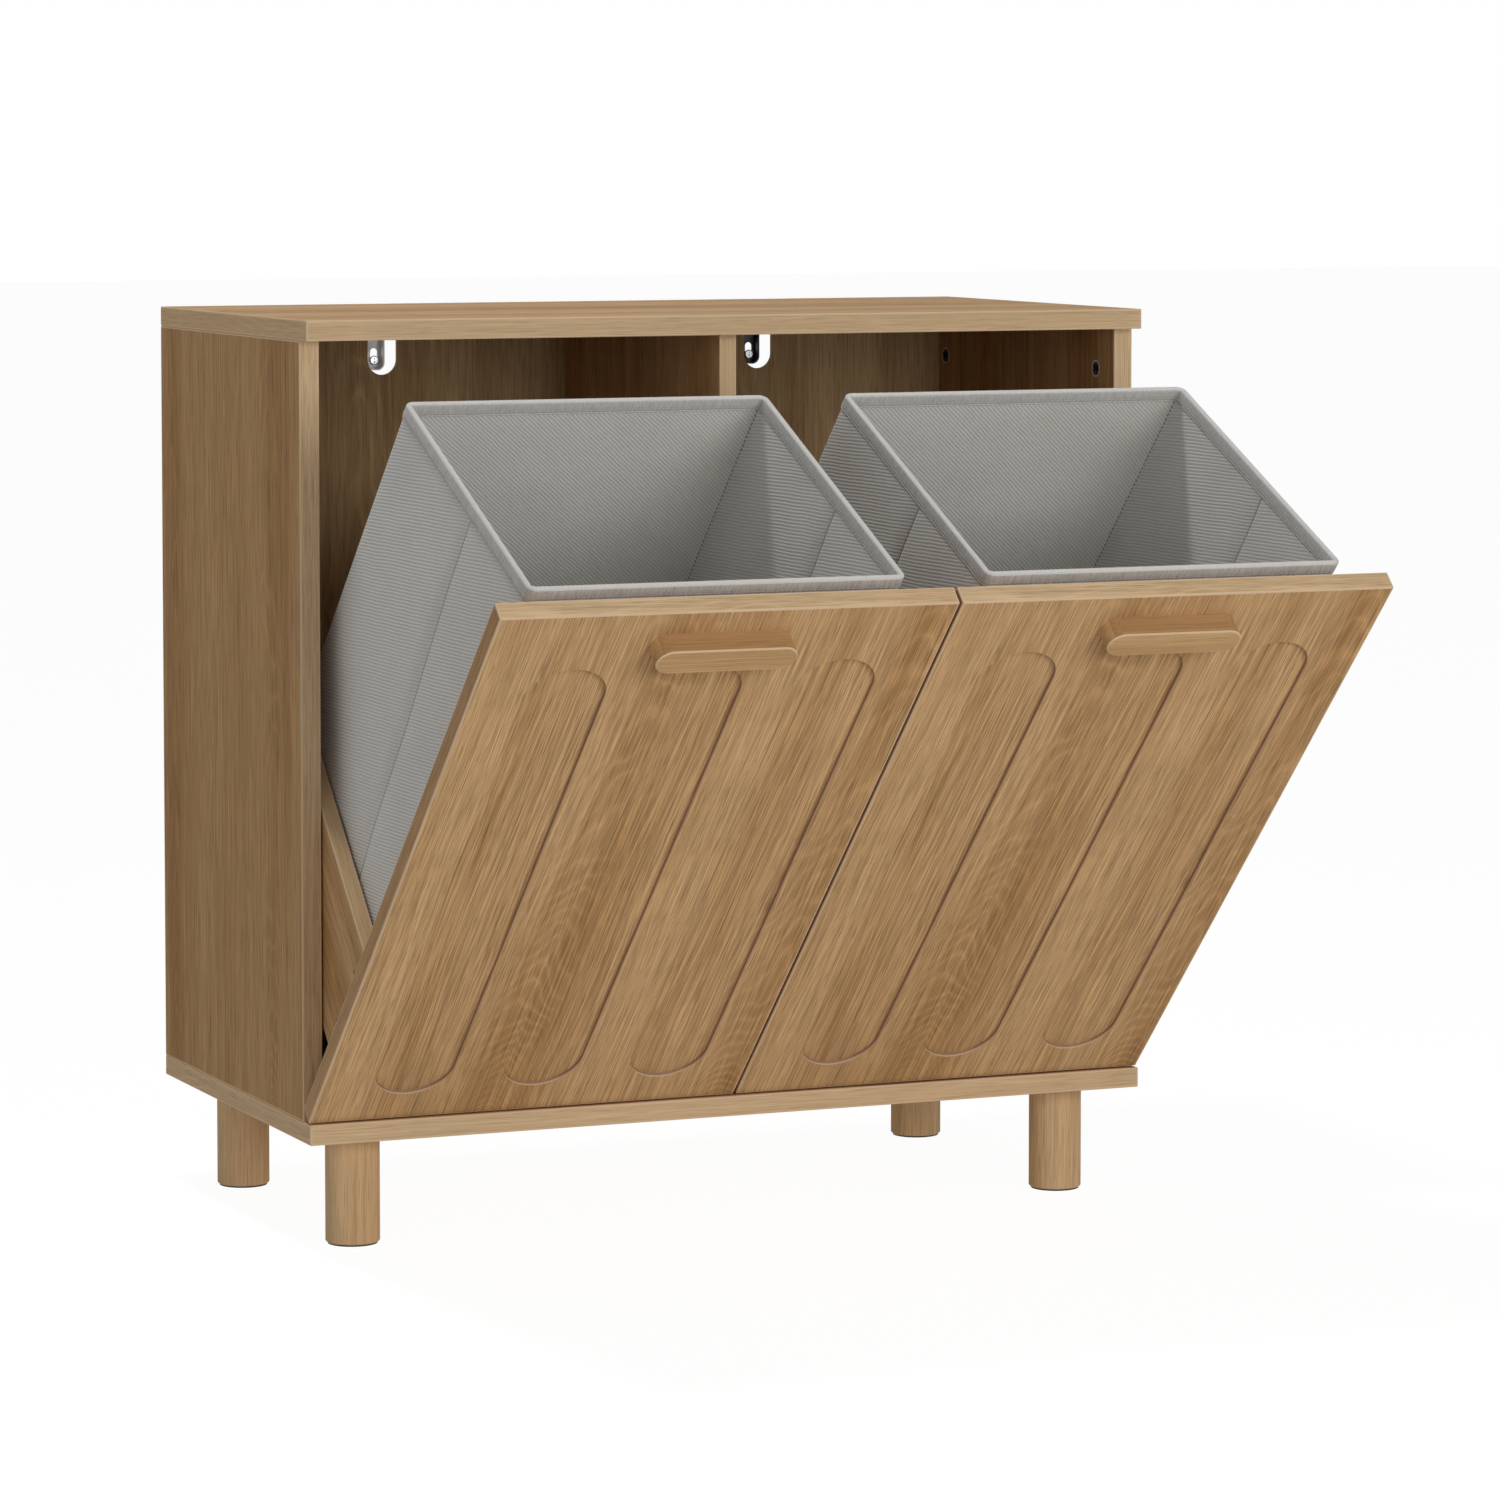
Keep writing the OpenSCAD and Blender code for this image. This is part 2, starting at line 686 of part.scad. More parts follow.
// The door's half of a hinge: a leaf on the door's back and two cheeks in the pocket, tied by
// a stop bar that meets the arm's flank at the open angle.
module hinge_leaves() {
    color(steel) each_door_hinge() difference() {
        union() {
            for (s = [-1, 1]) translate([s * (cheek_gap + hinge_cheek_w) / 2, 0, 0])
                across(hinge_cheek_w) polygon([[cheek_y, cheek_low], [door_t, cheek_low],
                    [door_t + hinge_leaf_t, cheek_low + hinge_leaf_t],
                    [door_t + hinge_leaf_t, cheek_top], [cheek_y, cheek_top]]);
            translate([-hinge_w / 2, door_t, leaf_low])
                cube([hinge_w, hinge_leaf_t, leaf_top - leaf_low]);
            rod_x([-cheek_gap / 2 - cut, stop_at().x, stop_at().y], hinge_stop_d,
                cheek_gap + 2 * cut);
        }
        rod_x([-hinge_w, pivot_depth, pivot_rise], hinge_pin_d, 2 * hinge_w);
        for (z = leaf_screw_z) translate([0, door_t + hinge_leaf_t, z]) rotate([90, 0, 0])
            flush_hole(hinge_leaf_t + cut, screw_d - 1, screw_head_d - 1.4);
    }
}

// The stop bar lies against the arm's flank when the door rests open.
function stop_at() = [
    pivot_depth + stop_along * cos(open_angle) - stop_reach * sin(open_angle),
    pivot_rise - stop_along * sin(open_angle) - stop_reach * cos(open_angle)];

module hinge_pins() {
    color(steel) each_door_hinge()
        rod_x([-hinge_w / 2, pivot_depth, pivot_rise], hinge_pin_d, hinge_w);
}

module leaf_screws() {
    color(steel) each_door_hinge() for (z = leaf_screw_z)
        translate([0, door_t + hinge_leaf_t, z]) rotate([90, 0, 0])
            flush_screw(leaf_screw_l, screw_d - 1, screw_head_d - 1.4);
}

// Doors

// The door's front has three round-ended recesses; its back has two hinge pockets.
module door() {
    recess_l = door_h - recess_bottom - recess_top;
    color(oak) difference() {
        translate([-door_w / 2, 0, 0]) board([door_w, door_t, door_h]);
        for (i = [-1:1]) translate([i * recess_pitch, recess_depth, recess_bottom + recess_l / 2])
            rotate([90, 0, 0]) linear_extrude(recess_depth + cut) upright_pill(recess_l, recess_w);
        each_door_hinge() {
            translate([-pocket_w / 2, pocket_y, -cut])
                cube([pocket_w, door_t - pocket_y + cut, pocket_top + cut]);
            for (z = leaf_screw_z)
                rod_y([0, door_t - leaf_screw_l + hinge_leaf_t, z],
                    screw_d - 1 + 2 * screw_slip, leaf_screw_l + cut);
        }
        for (x = handle_screw_x()) rod_y([x, -cut, door_h - handle_drop],
            screw_d + 2 * screw_slip, door_t + 2 * cut);
        for (s = [-1, 1]) {
            for (z = tray_cam_z()) rod_y([s * (tray_half - tray_board_t / 2),
                door_t - cam_bolt_thread, z], cam_bolt_d - 1 + 2 * screw_slip,
                cam_bolt_thread + cut);
            rod_y([s * tray_front_screw_x, door_t - tray_front_bite, tray_front_screw_z],
                screw_d + 2 * screw_slip, tray_front_bite + cut);
        }
    }
}

function handle_screw_x() = [-handle_screw_pitch / 2, handle_screw_pitch / 2];

// A round-ended bar, chamfered round its front.
module handle() {
    c = handle_chamfer;
    flat = handle_l - handle_h;
    color(oak) translate([0, 0, door_h - handle_drop]) difference() {
        union() {
            rotate([90, 0, 0]) linear_extrude(handle_out - c)
                rotate([0, 0, 90]) upright_pill(handle_l, handle_h);
            for (s = [-1, 1]) translate([s * flat / 2, c - handle_out, 0]) rotate([90, 0, 0])
                cylinder(d1 = handle_h, d2 = handle_h - 2 * c, h = c);
            across(flat) polygon([[c - handle_out, -handle_h / 2], [c - handle_out, handle_h / 2],
                [-handle_out, handle_h / 2 - c], [-handle_out, c - handle_h / 2]]);
        }
        for (x = handle_screw_x()) rod_y([x, -handle_screw_grip, 0], screw_d + 2 * screw_slip,
            handle_screw_grip + cut);
    }
}

module handle_screws() {
    color(steel) for (x = handle_screw_x())
        translate([x, door_t, door_h - handle_drop]) rotate([90, 0, 0])
            screw(door_t + handle_screw_grip);
}

// Trays

function tray_cam_z() = [for (s = [-1, 1]) tray_rise + tray_h / 2 + s * tray_cam_pitch / 2];

// A side board of the tray, on the outer (s = -1) or the inner (s = 1) side of the unit.
module tray_side(s) {
    x = s < 0 ? -tray_half : tray_inner;
    color(oak) difference() {
        translate([x, door_t, tray_rise]) board([tray_board_t, tray_l, tray_h]);
        tray_base_groove();
        for (z = tray_cam_z()) tray_cam_turn(s, z) {
            translate([tray_cam_inset, 0, 0]) mirror([1, 0, 0])
                cam_holes(tray_cam_d, tray_cam_depth, tray_board_t / 2, tray_cam_inset);
            translate([tray_cam_inset, 0, -tray_board_t - cut])
                cylinder(d = sight_hole_d, h = tray_board_t);
        }
        for (z = tray_screw_z) tray_screw_turn(s, z)
            flush_hole(tray_screw_l);
    }
}

// Places a tray cam joint: X points from the door along the board, Z to the basket.
module tray_cam_turn(s, z) {
    translate([s * tray_inner, door_t, z]) multmatrix([
        [0, 0, -s, 0],
        [1, 0, 0, 0],
        [0, 1, 0, 0],
        [0, 0, 0, 1]]) children();
}

// Places a screw through a side board into the back board, Z pointing inward.
module tray_screw_turn(s, z) {
    translate([s * tray_half, door_t + tray_l - tray_board_t / 2, z])
        rotate([0, s < 0 ? 90 : -90, 0]) children();
}

module tray_base_groove() {
    reach = tray_inner + tray_groove;
    translate([-reach, door_t + tray_board_t - tray_groove, tray_base_z - slip / 2])
        cube([2 * reach, tray_l - 2 * tray_board_t + 2 * tray_groove, tray_base_t + slip]);
}

// The board across the tray that lies against the door.
module tray_front() {
    color(oak_inside) difference() {
        translate([-tray_inner, door_t, tray_rise]) board([2 * tray_inner, tray_board_t, tray_h]);
        tray_base_groove();
        for (s = [-1, 1])
            translate([s * tray_front_screw_x, door_t + tray_board_t, tray_front_screw_z])
                rotate([90, 0, 0]) flush_hole(tray_board_t + cut);
    }
}

module tray_back() {
    color(oak_inside) difference() {
        translate([-tray_inner, door_t + tray_l - tray_board_t, tray_rise])
            board([2 * tray_inner, tray_board_t, tray_h]);
        tray_base_groove();
        for (s = [-1, 1], z = tray_screw_z) tray_screw_turn(s, z) flush_hole(tray_screw_l);
    }
}

// The base board, held in grooves all round.
module tray_base() {
    reach = tray_groove - slip;
    color(oak_inside) translate([-tray_inner - reach, door_t + tray_board_t - reach, tray_base_z])
        cube([2 * (tray_inner + reach), tray_l - 2 * tray_board_t + 2 * reach, tray_base_t]);
}

module tray_cams() {
    color(dark_steel) for (s = [-1, 1], z = tray_cam_z()) tray_cam_turn(s, z)
        translate([tray_cam_inset, 0, 0]) mirror([1, 0, 0])
            cam_lock(tray_cam_d, tray_cam_depth, tray_board_t / 2);
}

module tray_bolts() {
    color(steel) for (s = [-1, 1], z = tray_cam_z()) tray_cam_turn(s, z)
        translate([0, 0, -tray_board_t / 2]) cam_bolt(tray_cam_inset - 1);
}

module tray_screws() {
    color(steel) for (s = [-1, 1]) {
        for (z = tray_screw_z) tray_screw_turn(s, z) flush_screw(tray_screw_l);
        translate([s * tray_front_screw_x, door_t + tray_board_t, tray_front_screw_z])
            rotate([90, 0, 0]) flush_screw(tray_board_t + tray_front_bite);
    }
}

// Baskets

// An open fabric shell whose rim slopes down from the door to the back.
module basket() {
    back_y = basket_y + basket_d;
    slope = (basket_front_h - basket_back_h) / basket_d;
    w = basket_wall;
    color(grey_fabric) difference() {
        across(2 * basket_half) polygon([[basket_y, basket_z], [back_y, basket_z],
            [back_y, basket_z + basket_back_h], [basket_y, basket_z + basket_front_h]]);
        across(2 * (basket_half - w)) polygon([[basket_y + w, basket_z + w],
            [back_y - w, basket_z + w], [back_y - w, basket_z + basket_back_h + slope * w + cut],
            [basket_y + w, basket_z + basket_front_h - slope * w + cut]]);
    }
}

// The stiff board that lies loose on the basket's bottom.
module basket_board() {
    inset = basket_wall + 1;
    color(grey_board) translate([inset - basket_half, basket_y + inset, basket_z + basket_wall])
        cube([2 * (basket_half - inset), basket_d - 2 * inset, basket_board_t]);
}

top_panel();
bottom_panel();
side_panel(-1);  // left_side_panel
side_panel(1);  // right_side_panel
centre_divider();
back_panel();
foot(0);  // foot_front_left
foot(1);  // foot_front_right
foot(2);  // foot_back_left
foot(3);  // foot_back_right
foot_pads();
foot_bolts();
cam_locks();
cam_bolts();
dowels();
wall_bracket(-1);  // left_wall_bracket
wall_bracket(1);  // right_wall_bracket
bracket_screws();
wall_screws();
hinge_arms();
hinge_plate_screws();
tilted() door();  // left_door
tilted() handle();  // left_handle
tilted() handle_screws();  // left_handle_screws
tilted() tray_side(-1);  // left_tray_outer_side
tilted() tray_side(1);  // left_tray_inner_side
tilted() tray_front();  // left_tray_front
tilted() tray_back();  // left_tray_back
tilted() tray_base();  // left_tray_base
tilted() tray_cams();  // left_tray_cams
tilted() tray_bolts();  // left_tray_bolts
tilted() tray_screws();  // left_tray_screws
tilted() basket();  // left_basket
tilted() basket_board();  // left_basket_board
tilted() hinge_leaves();  // left_hinge_leaves
tilted() hinge_pins();  // left_hinge_pins
tilted() leaf_screws();  // left_leaf_screws
on_side(true) tilted() door();  // right_door
on_side(true) tilted() handle();  // right_handle
on_side(true) tilted() handle_screws();  // right_handle_screws
on_side(true) tilted() tray_side(-1);  // right_tray_outer_side
on_side(true) tilted() tray_side(1);  // right_tray_inner_side
on_side(true) tilted() tray_front();  // right_tray_front
on_side(true) tilted() tray_back();  // right_tray_back
on_side(true) tilted() tray_base();  // right_tray_base
on_side(true) tilted() tray_cams();  // right_tray_cams
on_side(true) tilted() tray_bolts();  // right_tray_bolts
on_side(true) tilted() tray_screws();  // right_tray_screws
on_side(true) tilted() basket();  // right_basket
on_side(true) tilted() basket_board();  // right_basket_board
on_side(true) tilted() hinge_leaves();  // right_hinge_leaves
on_side(true) tilted() hinge_pins();  // right_hinge_pins
on_side(true) tilted() leaf_screws();  // right_leaf_screws
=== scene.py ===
"""The looks of a bathroom laundry cabinet: oak boards, metal fittings and two grey fabric baskets."""
import json
import math
from collections import namedtuple

import bmesh
import bpy
from mathutils import Matrix, Vector, noise


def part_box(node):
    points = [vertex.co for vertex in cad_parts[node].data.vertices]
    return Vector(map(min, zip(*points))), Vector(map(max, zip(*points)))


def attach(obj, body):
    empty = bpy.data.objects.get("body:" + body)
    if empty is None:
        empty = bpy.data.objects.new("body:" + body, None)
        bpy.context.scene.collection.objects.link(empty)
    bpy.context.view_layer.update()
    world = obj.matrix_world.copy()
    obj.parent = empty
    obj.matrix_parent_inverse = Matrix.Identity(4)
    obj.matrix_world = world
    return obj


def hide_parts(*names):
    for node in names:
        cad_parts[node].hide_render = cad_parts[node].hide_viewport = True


bl_info = {
    "name": "Laundry Cabinet Looks",
    "version": (1, 0, 0),
    "blender": (4, 5, 0),
    "location": "View3D > Sidebar > Cabinet",
    "description": "Finishes a laundry cabinet with two tilting doors and fabric baskets",
    "category": "Object",
}

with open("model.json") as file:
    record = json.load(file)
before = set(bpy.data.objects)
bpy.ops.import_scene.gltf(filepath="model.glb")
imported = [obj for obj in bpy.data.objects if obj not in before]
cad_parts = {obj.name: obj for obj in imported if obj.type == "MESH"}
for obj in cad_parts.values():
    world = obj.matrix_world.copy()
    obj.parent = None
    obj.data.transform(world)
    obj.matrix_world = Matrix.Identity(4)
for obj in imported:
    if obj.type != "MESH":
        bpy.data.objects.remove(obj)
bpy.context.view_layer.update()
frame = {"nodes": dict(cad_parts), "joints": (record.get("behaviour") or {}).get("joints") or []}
NODES = frame["nodes"]
SIDES = ("left", "right")
MM = 0.001


# Sizes taken from the frame


def joint_of(side):
    """The hinge joint of one door."""
    return next(j for j in frame["joints"] if j["name"] == f"{side}_door_hinge")


def unit_frame(side):
    """Turns a place in a shut door's frame, measured from its pivot, into the open rest pose."""
    joint = joint_of(side)
    tilt = Matrix.Rotation(math.radians(joint["range_deg"][1]), 4, "X")
    return Matrix.Translation(Vector(joint["pos_m"])) @ tilt


def unit_points(side, node):
    """The corners of a node of one tilting unit, in the shut door's frame."""
    back = unit_frame(side).inverted()
    return [back @ v.co for v in NODES[f"{side}_{node}"].data.vertices]


def unit_box(side, node):
    """Lowest and highest corner of a node of one tilting unit, in the shut door's frame."""
    points = unit_points(side, node)
    low = Vector([min(p[axis] for p in points) for axis in range(3)])
    high = Vector([max(p[axis] for p in points) for axis in range(3)])
    return low, high


def basket_sizes(side):
    """Outer box of one basket and the heights of its rim at the front and back."""
    low, high = unit_box(side, "basket")
    points = unit_points(side, "basket")
    near_back = [p.z for p in points if p.y > high.y - 1 * MM]
    return low, high, high.z, max(near_back)


# Properties


def linear(value):
    """A screen value from 0 to 255 as linear light, by the sRGB curve."""
    share = value / 255
    if share <= 0.04045:
        return share / 12.92
    return ((share + 0.055) / 1.055) ** 2.4


def paint(red, green, blue):
    """A colour in screen values as linear light."""
    return linear(red), linear(green), linear(blue)


def colour_property(name, description, default):
    """A colour that a user may change."""
    return bpy.props.FloatVectorProperty(
        name=name, description=description, default=default, size=3, subtype="COLOR", min=0, max=1)


def length_property(name, description, default):
    """A length that a user may change."""
    return bpy.props.FloatProperty(
        name=name, description=description, default=default, min=0, unit="LENGTH", subtype="DISTANCE")


def share_property(name, description, default):
    """A share from 0 to 1 that a user may change."""
    return bpy.props.FloatProperty(
        name=name, description=description, default=default, min=0, max=1, subtype="FACTOR")


def light_property(name, description, default):
    """The strength of an even light that a user may change."""
    return bpy.props.FloatProperty(name=name, description=description, default=default, min=0)


def power_property(name, description, default):
    """The power of a lamp that a user may change."""
    return bpy.props.FloatProperty(
        name=name, description=description, default=default, min=0, unit="POWER")


class OakLook(bpy.types.PropertyGroup):
    """Colours and strengths of the oak face."""

    pale: colour_property("Pale wood", "Lightest wood between the bands", paint(208, 170, 124))
    warm: colour_property("Warm wood", "Redder wood in bands and hearts", paint(174, 131, 85))
    dark: colour_property("Pores", "Colour of the open pores", paint(116, 77, 44))
    band: colour_property("Edge band", "Lighter wood of the edge bands", paint(212, 183, 145))
    # Darker, redder copies of the wood for the side panels, as painted shade
    side: colour_property("Side pale", "Lightest wood of the side panels", paint(192, 153, 107))
    side_warm: colour_property("Side warm", "Redder wood of the side panels", paint(160, 118, 74))
    inner: colour_property("Inside pale", "Lightest wood of the back panel", paint(200, 170, 127))
    inner_warm: colour_property("Inside warm", "Redder wood of the back panel", paint(167, 133, 92))
    # Paler copies of the wood for feet and handles; on the feet the extra paleness is painted light in
    # the shade under the cabinet
    turned: colour_property("Turned pale", "Lightest wood of feet and handles", paint(218, 185, 142))
    turned_warm: colour_property("Turned warm", "Redder wood of feet and handles", paint(194, 155, 111))
    # Colour of the painted highlight along the eased edges of boards and handles
    line: colour_property("Edge line", "Pale line along the eased edges", paint(228, 200, 166))
    groove: colour_property("Recess wall", "Routed walls of the door recesses", paint(146, 116, 103))
    pores: share_property("Pore strength", "How dark the pores are", 0.42)
    rings: share_property("Ring strength", "How strong the growth rings are", 1.0)


class ClothLook(bpy.types.PropertyGroup):
    """Colours and weave of the basket fabric."""

    light: colour_property("Cloth", "Raised ribs of the twill", paint(231, 229, 224))
    shade: colour_property("Cloth shade", "Hollows between the ribs", paint(200, 197, 192))
    tape: colour_property("Tape", "Woven tape of the binding and piping", paint(213, 211, 207))
    tape_shade: colour_property("Tape shade", "Hollows of the tape's puckers", paint(183, 180, 176))
    # Colour of the painted shade in the fold seams and beside the piping
    painted_shade: colour_property("Crease", "Dark of creases and beside the piping", paint(120, 117, 112))
    thread: colour_property("Seam thread", "Thread of the corner seams", paint(92, 88, 84))
    rib: length_property("Rib pitch", "Distance between two ribs of the twill", 3 * MM)


class BasketShape(bpy.types.PropertyGroup):
    """Sizes of the sewn basket."""

    wall: length_property("Wall", "Thickness of the padded wall", 3 * MM)
    corner: length_property("Corner", "Radius of the upright corners", 7 * MM)
    binding: length_property("Binding", "Height of the folded rim binding", 12 * MM)
    tape: length_property("Tape", "Thickness of the binding's tape", 1.1 * MM)
    piping: length_property("Piping", "Thickness of the piping under the binding", 1.7 * MM)
    wave: length_property("Wave", "How far the walls swell and sink", 2.2 * MM)
    pinch: length_property("Pinch", "How deep the fold seams are sewn in", 1.1 * MM)
    stitch: length_property("Stitch", "Length of one stitch", 2.8 * MM)
    stitch_step: length_property("Stitch step", "Distance between two stitches", 4.2 * MM)
    thread: length_property("Thread", "Thickness of the sewing thread", 0.5 * MM)


class StudioLook(bpy.types.PropertyGroup):
    """Light, floor and camera."""

    world: light_property("World light", "Even light from all round", 0.06)
    zenith: light_property("Light from above", "Even light from straight above", 0.16)
    front: light_property("Light from the front", "Even light that the front side adds", 1.0)
    left: light_property("Light from the left", "Even light that the left side adds", 0.42)
    key: power_property("Key light", "Power of the large soft lamp in front", 60)
    high: power_property("High light", "Power of the small soft lamp above, a little to the left", 33)
    floor: colour_property("Floor", "Colour of the floor in the light that it throws back", (0.5,) * 3)
    floor_light: light_property("Floor light", "Even light that the floor adds from below", 0.22)
    lens: bpy.props.FloatProperty(
        name="Lens", description="Focal length on a 36 mm sensor", default=140.048, min=1)


# Shader building


class Wiring:
    """Adds nodes to one node tree and joins them."""

    def __init__(self, tree):
        self.tree = tree

    def add(self, kind, **settings):
        """A new node with its settings."""
        node = self.tree.nodes.new(kind)
        for name, setting in settings.items():
            setattr(node, name, setting)
        return node

    def feed(self, socket, source):
        """Joins a source to a socket, or sets the socket where the source is a plain value."""
        if isinstance(source, bpy.types.NodeSocket):
            self.tree.links.new(source, socket)
        else:
            socket.default_value = source

    def math(self, operation, *sources):
        """A Math node."""
        node = self.add("ShaderNodeMath", operation=operation)
        for socket, source in zip(node.inputs, sources):
            self.feed(socket, source)
        return node.outputs[0]

    def product(self, *sources):
        """All sources multiplied together."""
        result = sources[0]
        for source in sources[1:]:
            result = self.math("MULTIPLY", result, source)
        return result

    def weigh(self, start, pairs):
        """The start with each source added, times its weight."""
        result = start
        for source, weight in pairs:
            result = self.math("MULTIPLY_ADD", source, weight, result)
        return result

    def less_half(self, source):
        """A noise from 0 to 1, moved to swing round zero."""
        return self.math("SUBTRACT", source, 0.5)

    def vector(self, operation, *sources):
        """A Vector Math node that gives a vector."""
        node = self.add("ShaderNodeVectorMath", operation=operation)
        for socket, source in zip(node.inputs, sources):
            self.feed(socket, source)
        return node.outputs["Vector"]

    def millimetres(self, place):
        """A place in metres as millimetres."""
        return self.vector("MULTIPLY", place, (1 / MM,) * 3)

    def split(self, source):
        """The three parts of a vector."""
        node = self.add("ShaderNodeSeparateXYZ")
        self.feed(node.inputs[0], source)
        return node.outputs

    def join(self, *parts):
        """A vector from three parts."""
        node = self.add("ShaderNodeCombineXYZ")
        for socket, part in zip(node.inputs, parts):
            self.feed(socket, part)
        return node.outputs[0]

    def step(self, source, low, high, start=0.0, end=1.0):
        """A smooth step from start to end while the source goes from low to high."""
        node = self.add("ShaderNodeMapRange", interpolation_type="SMOOTHSTEP")
        for socket, part in zip(node.inputs, (source, low, high, start, end)):
            self.feed(socket, part)
        return node.outputs[0]

    def mix(self, kind, *sources):
        """A Mix node of one kind, fed with a share and two sources."""
        node = self.add("ShaderNodeMix", data_type=kind)
        used_inputs = [socket for socket in node.inputs if socket.enabled]
        for socket, source in zip(used_inputs, sources):
            self.feed(socket, source)
        return next(socket for socket in node.outputs if socket.enabled)

    def blend(self, share, first, second):
        """A mix of two colours."""
        return self.mix("RGBA", share, first, second)

    def blend_vector(self, share, first, second):
        """A mix of two vectors."""
        return self.mix("VECTOR", share, first, second)

    def speckle(self, place, size, detail, shift):
        """Noise whose spots have the given size along each axis."""
        scaled = self.vector("DIVIDE", place, size)
        moved = self.vector("ADD", scaled, shift)
        node = self.add("ShaderNodeTexNoise")
        self.feed(node.inputs["Vector"], moved)
        node.inputs["Scale"].default_value = 1
        node.inputs["Detail"].default_value = detail
        return node.outputs[0]

    def group(self, name, **values):
        """One of the shared groups, with its own values."""
        node = self.add("ShaderNodeGroup", node_tree=bpy.data.node_groups[name])
        for label, source in values.items():
            self.feed(node.inputs[label.replace("_", " ").title()], source)
        return node.outputs


def new_group(name, inputs, outputs):
    """An empty node group with named sockets, and the ends to wire it to."""
    tree = bpy.data.node_groups.new(name, "ShaderNodeTree")
    for label, kind in inputs:
        tree.interface.new_socket(label, in_out="INPUT", socket_type=f"NodeSocket{kind}")
    for label, kind in outputs:
        tree.interface.new_socket(label, in_out="OUTPUT", socket_type=f"NodeSocket{kind}")
    wiring = Wiring(tree)
    given = wiring.add("NodeGroupInput").outputs
    result = wiring.add("NodeGroupOutput").inputs
    return wiring, given, result


def new_material(name):
    """A material, its wiring and its Principled shader."""
    material = bpy.data.materials.new(name)
    material.use_nodes = True
    shader = material.node_tree.nodes["Principled BSDF"]
    return material, Wiring(material.node_tree), shader


def put_bump(wiring, shader, height, strength, distance):
    """Feeds a height to the shader's normal."""
    bump = wiring.add("ShaderNodeBump")
    bump.inputs["Strength"].default_value = strength
    bump.inputs["Distance"].default_value = distance
    wiring.feed(bump.inputs["Height"], height)
    wiring.feed(shader.inputs["Normal"], bump.outputs["Normal"])


def rgba(colour):
    """A colour with full alpha."""
    return (*colour, 1)


# Shared groups. They work in millimetres, apart from the board group, which works in metres.

# The size of a noise's spots along each axis, its detail, and its shift from the other noises
Speckle = namedtuple("Speckle", "size detail shift", defaults=(1, (0, 0, 0)))

# How squarely a surface has to face an axis to count as facing it
FACES_SQUARELY = 0.8
FACES_MOSTLY = 0.7
FACES_HALF = 0.5

# Width of the strip along a board's edges where a highlight is painted
EDGE_HIGHLIGHT = 1.5 * MM
END_FACING = 0.6
BAND_FACING = 0.4


def build_board_group():
    """Turns a board's own axes so that the grain of an end face runs along the edge."""
    wiring, given, result = new_group(
        "Board faces",
        [("Place", "Vector"), ("Normal", "Vector"), ("Half", "Vector")],
        [("Place", "Vector"), ("Edge Highlight", "Float"), ("Edge Band", "Float")])
    facing = wiring.split(wiring.vector("ABSOLUTE", given["Normal"]))
    parts = wiring.split(given["Place"])
    turned = wiring.join(parts[1], parts[2], parts[0])
    end_face = wiring.math("GREATER_THAN", facing[2], END_FACING)
    wiring.feed(result["Place"], wiring.blend_vector(end_face, given["Place"], turned))
    centre = wiring.vector("MULTIPLY", given["Half"], (0, 0, 1))
    from_centre = wiring.vector("ABSOLUTE", wiring.vector("SUBTRACT", given["Place"], centre))
    rests = wiring.split(wiring.vector("SUBTRACT", given["Half"], from_centre))
    # Distance to the nearest edge, for the strip where a highlight is painted
    to_edge = 1.0
    for rest, part in zip(rests, facing):
        # The board's own face lies at no distance, so it is put a metre off
        face = wiring.math("GREATER_THAN", part, FACES_SQUARELY)
        to_edge = wiring.math("MINIMUM", to_edge, wiring.math("ADD", rest, face))
    wiring.feed(result["Edge Highlight"], wiring.math("LESS_THAN", to_edge, EDGE_HIGHLIGHT))
    wiring.feed(result["Edge Band"], wiring.math("LESS_THAN", facing[1], BAND_FACING))


# Across, through and along the grain
WANDER = Speckle((90, 90, 420), 2)
WANDER_REACH = 12
HEART_WAVER = Speckle((60, 60, 200), 2)
HEART_BLEND = 12
RING_JITTER = Speckle((16, 16, 60), 2)
RING_PATCH = Speckle((34, 34, 110), 2, (5.1, 2.2, 7.3))
BAND = Speckle((42, 42, 900), 2)
CLOUD = Speckle((60, 60, 340), 3)
STREAK = Speckle((7, 7, 320), 3)
FIBRE = Speckle((1.1, 1.1, 100), 2, (8.2, 5.5, 2.4))
PORE = Speckle((0.9, 0.9, 34), 1, (3.7, 1.3, 9.1))

# From where to where each noise or swing fades in
BAND_STEP = (0.38, 0.66)
CLOUD_STEP = (0.3, 0.7)
WARMTH_STEP = (-0.1, 1.25)
PATCH_STEP = (0.34, 0.6, 0.3, 1.0)
PALE_RING_STEP = (0.4, 1.0)
DARK_RING_STEP = (0.1, -0.8)
PORE_STEP = (0.54, 0.66)

# How much bands, hearts, clouds and streaks warm the wood
WARMTH = (0.45, 0.45, 0.22, 0.7)
# How much streaks, pale rings and dark rings lighten the wood
TONE = (-0.2, 0.15, -0.05)
# How crowded the pores are, and how much dark and pale rings add
CROWD = 0.85
RING_CROWD = (0.15, -0.6)
OAK_ROUGHNESS = 0.56
PORE_ROUGHNESS = 0.14
FIBRE_HEIGHT = 0.5


def heart_distance(wiring, place, heart, waver):
    """Distance from a heart line that sinks along the grain, and how far aside of it a place lies."""
    x, y, z = wiring.split(place)
    side, depth, climb = wiring.split(heart)
    aside = wiring.math("SUBTRACT", x, side)
    deep = wiring.math("ADD", y, depth)
    squares = wiring.math("ADD", wiring.product(aside, aside), wiring.product(deep, deep))
    squares = wiring.math("MULTIPLY_ADD", z, climb, squares)
    return wiring.math("ADD", wiring.math("SQRT", wiring.math("MAXIMUM", squares, 0.0)), waver), aside


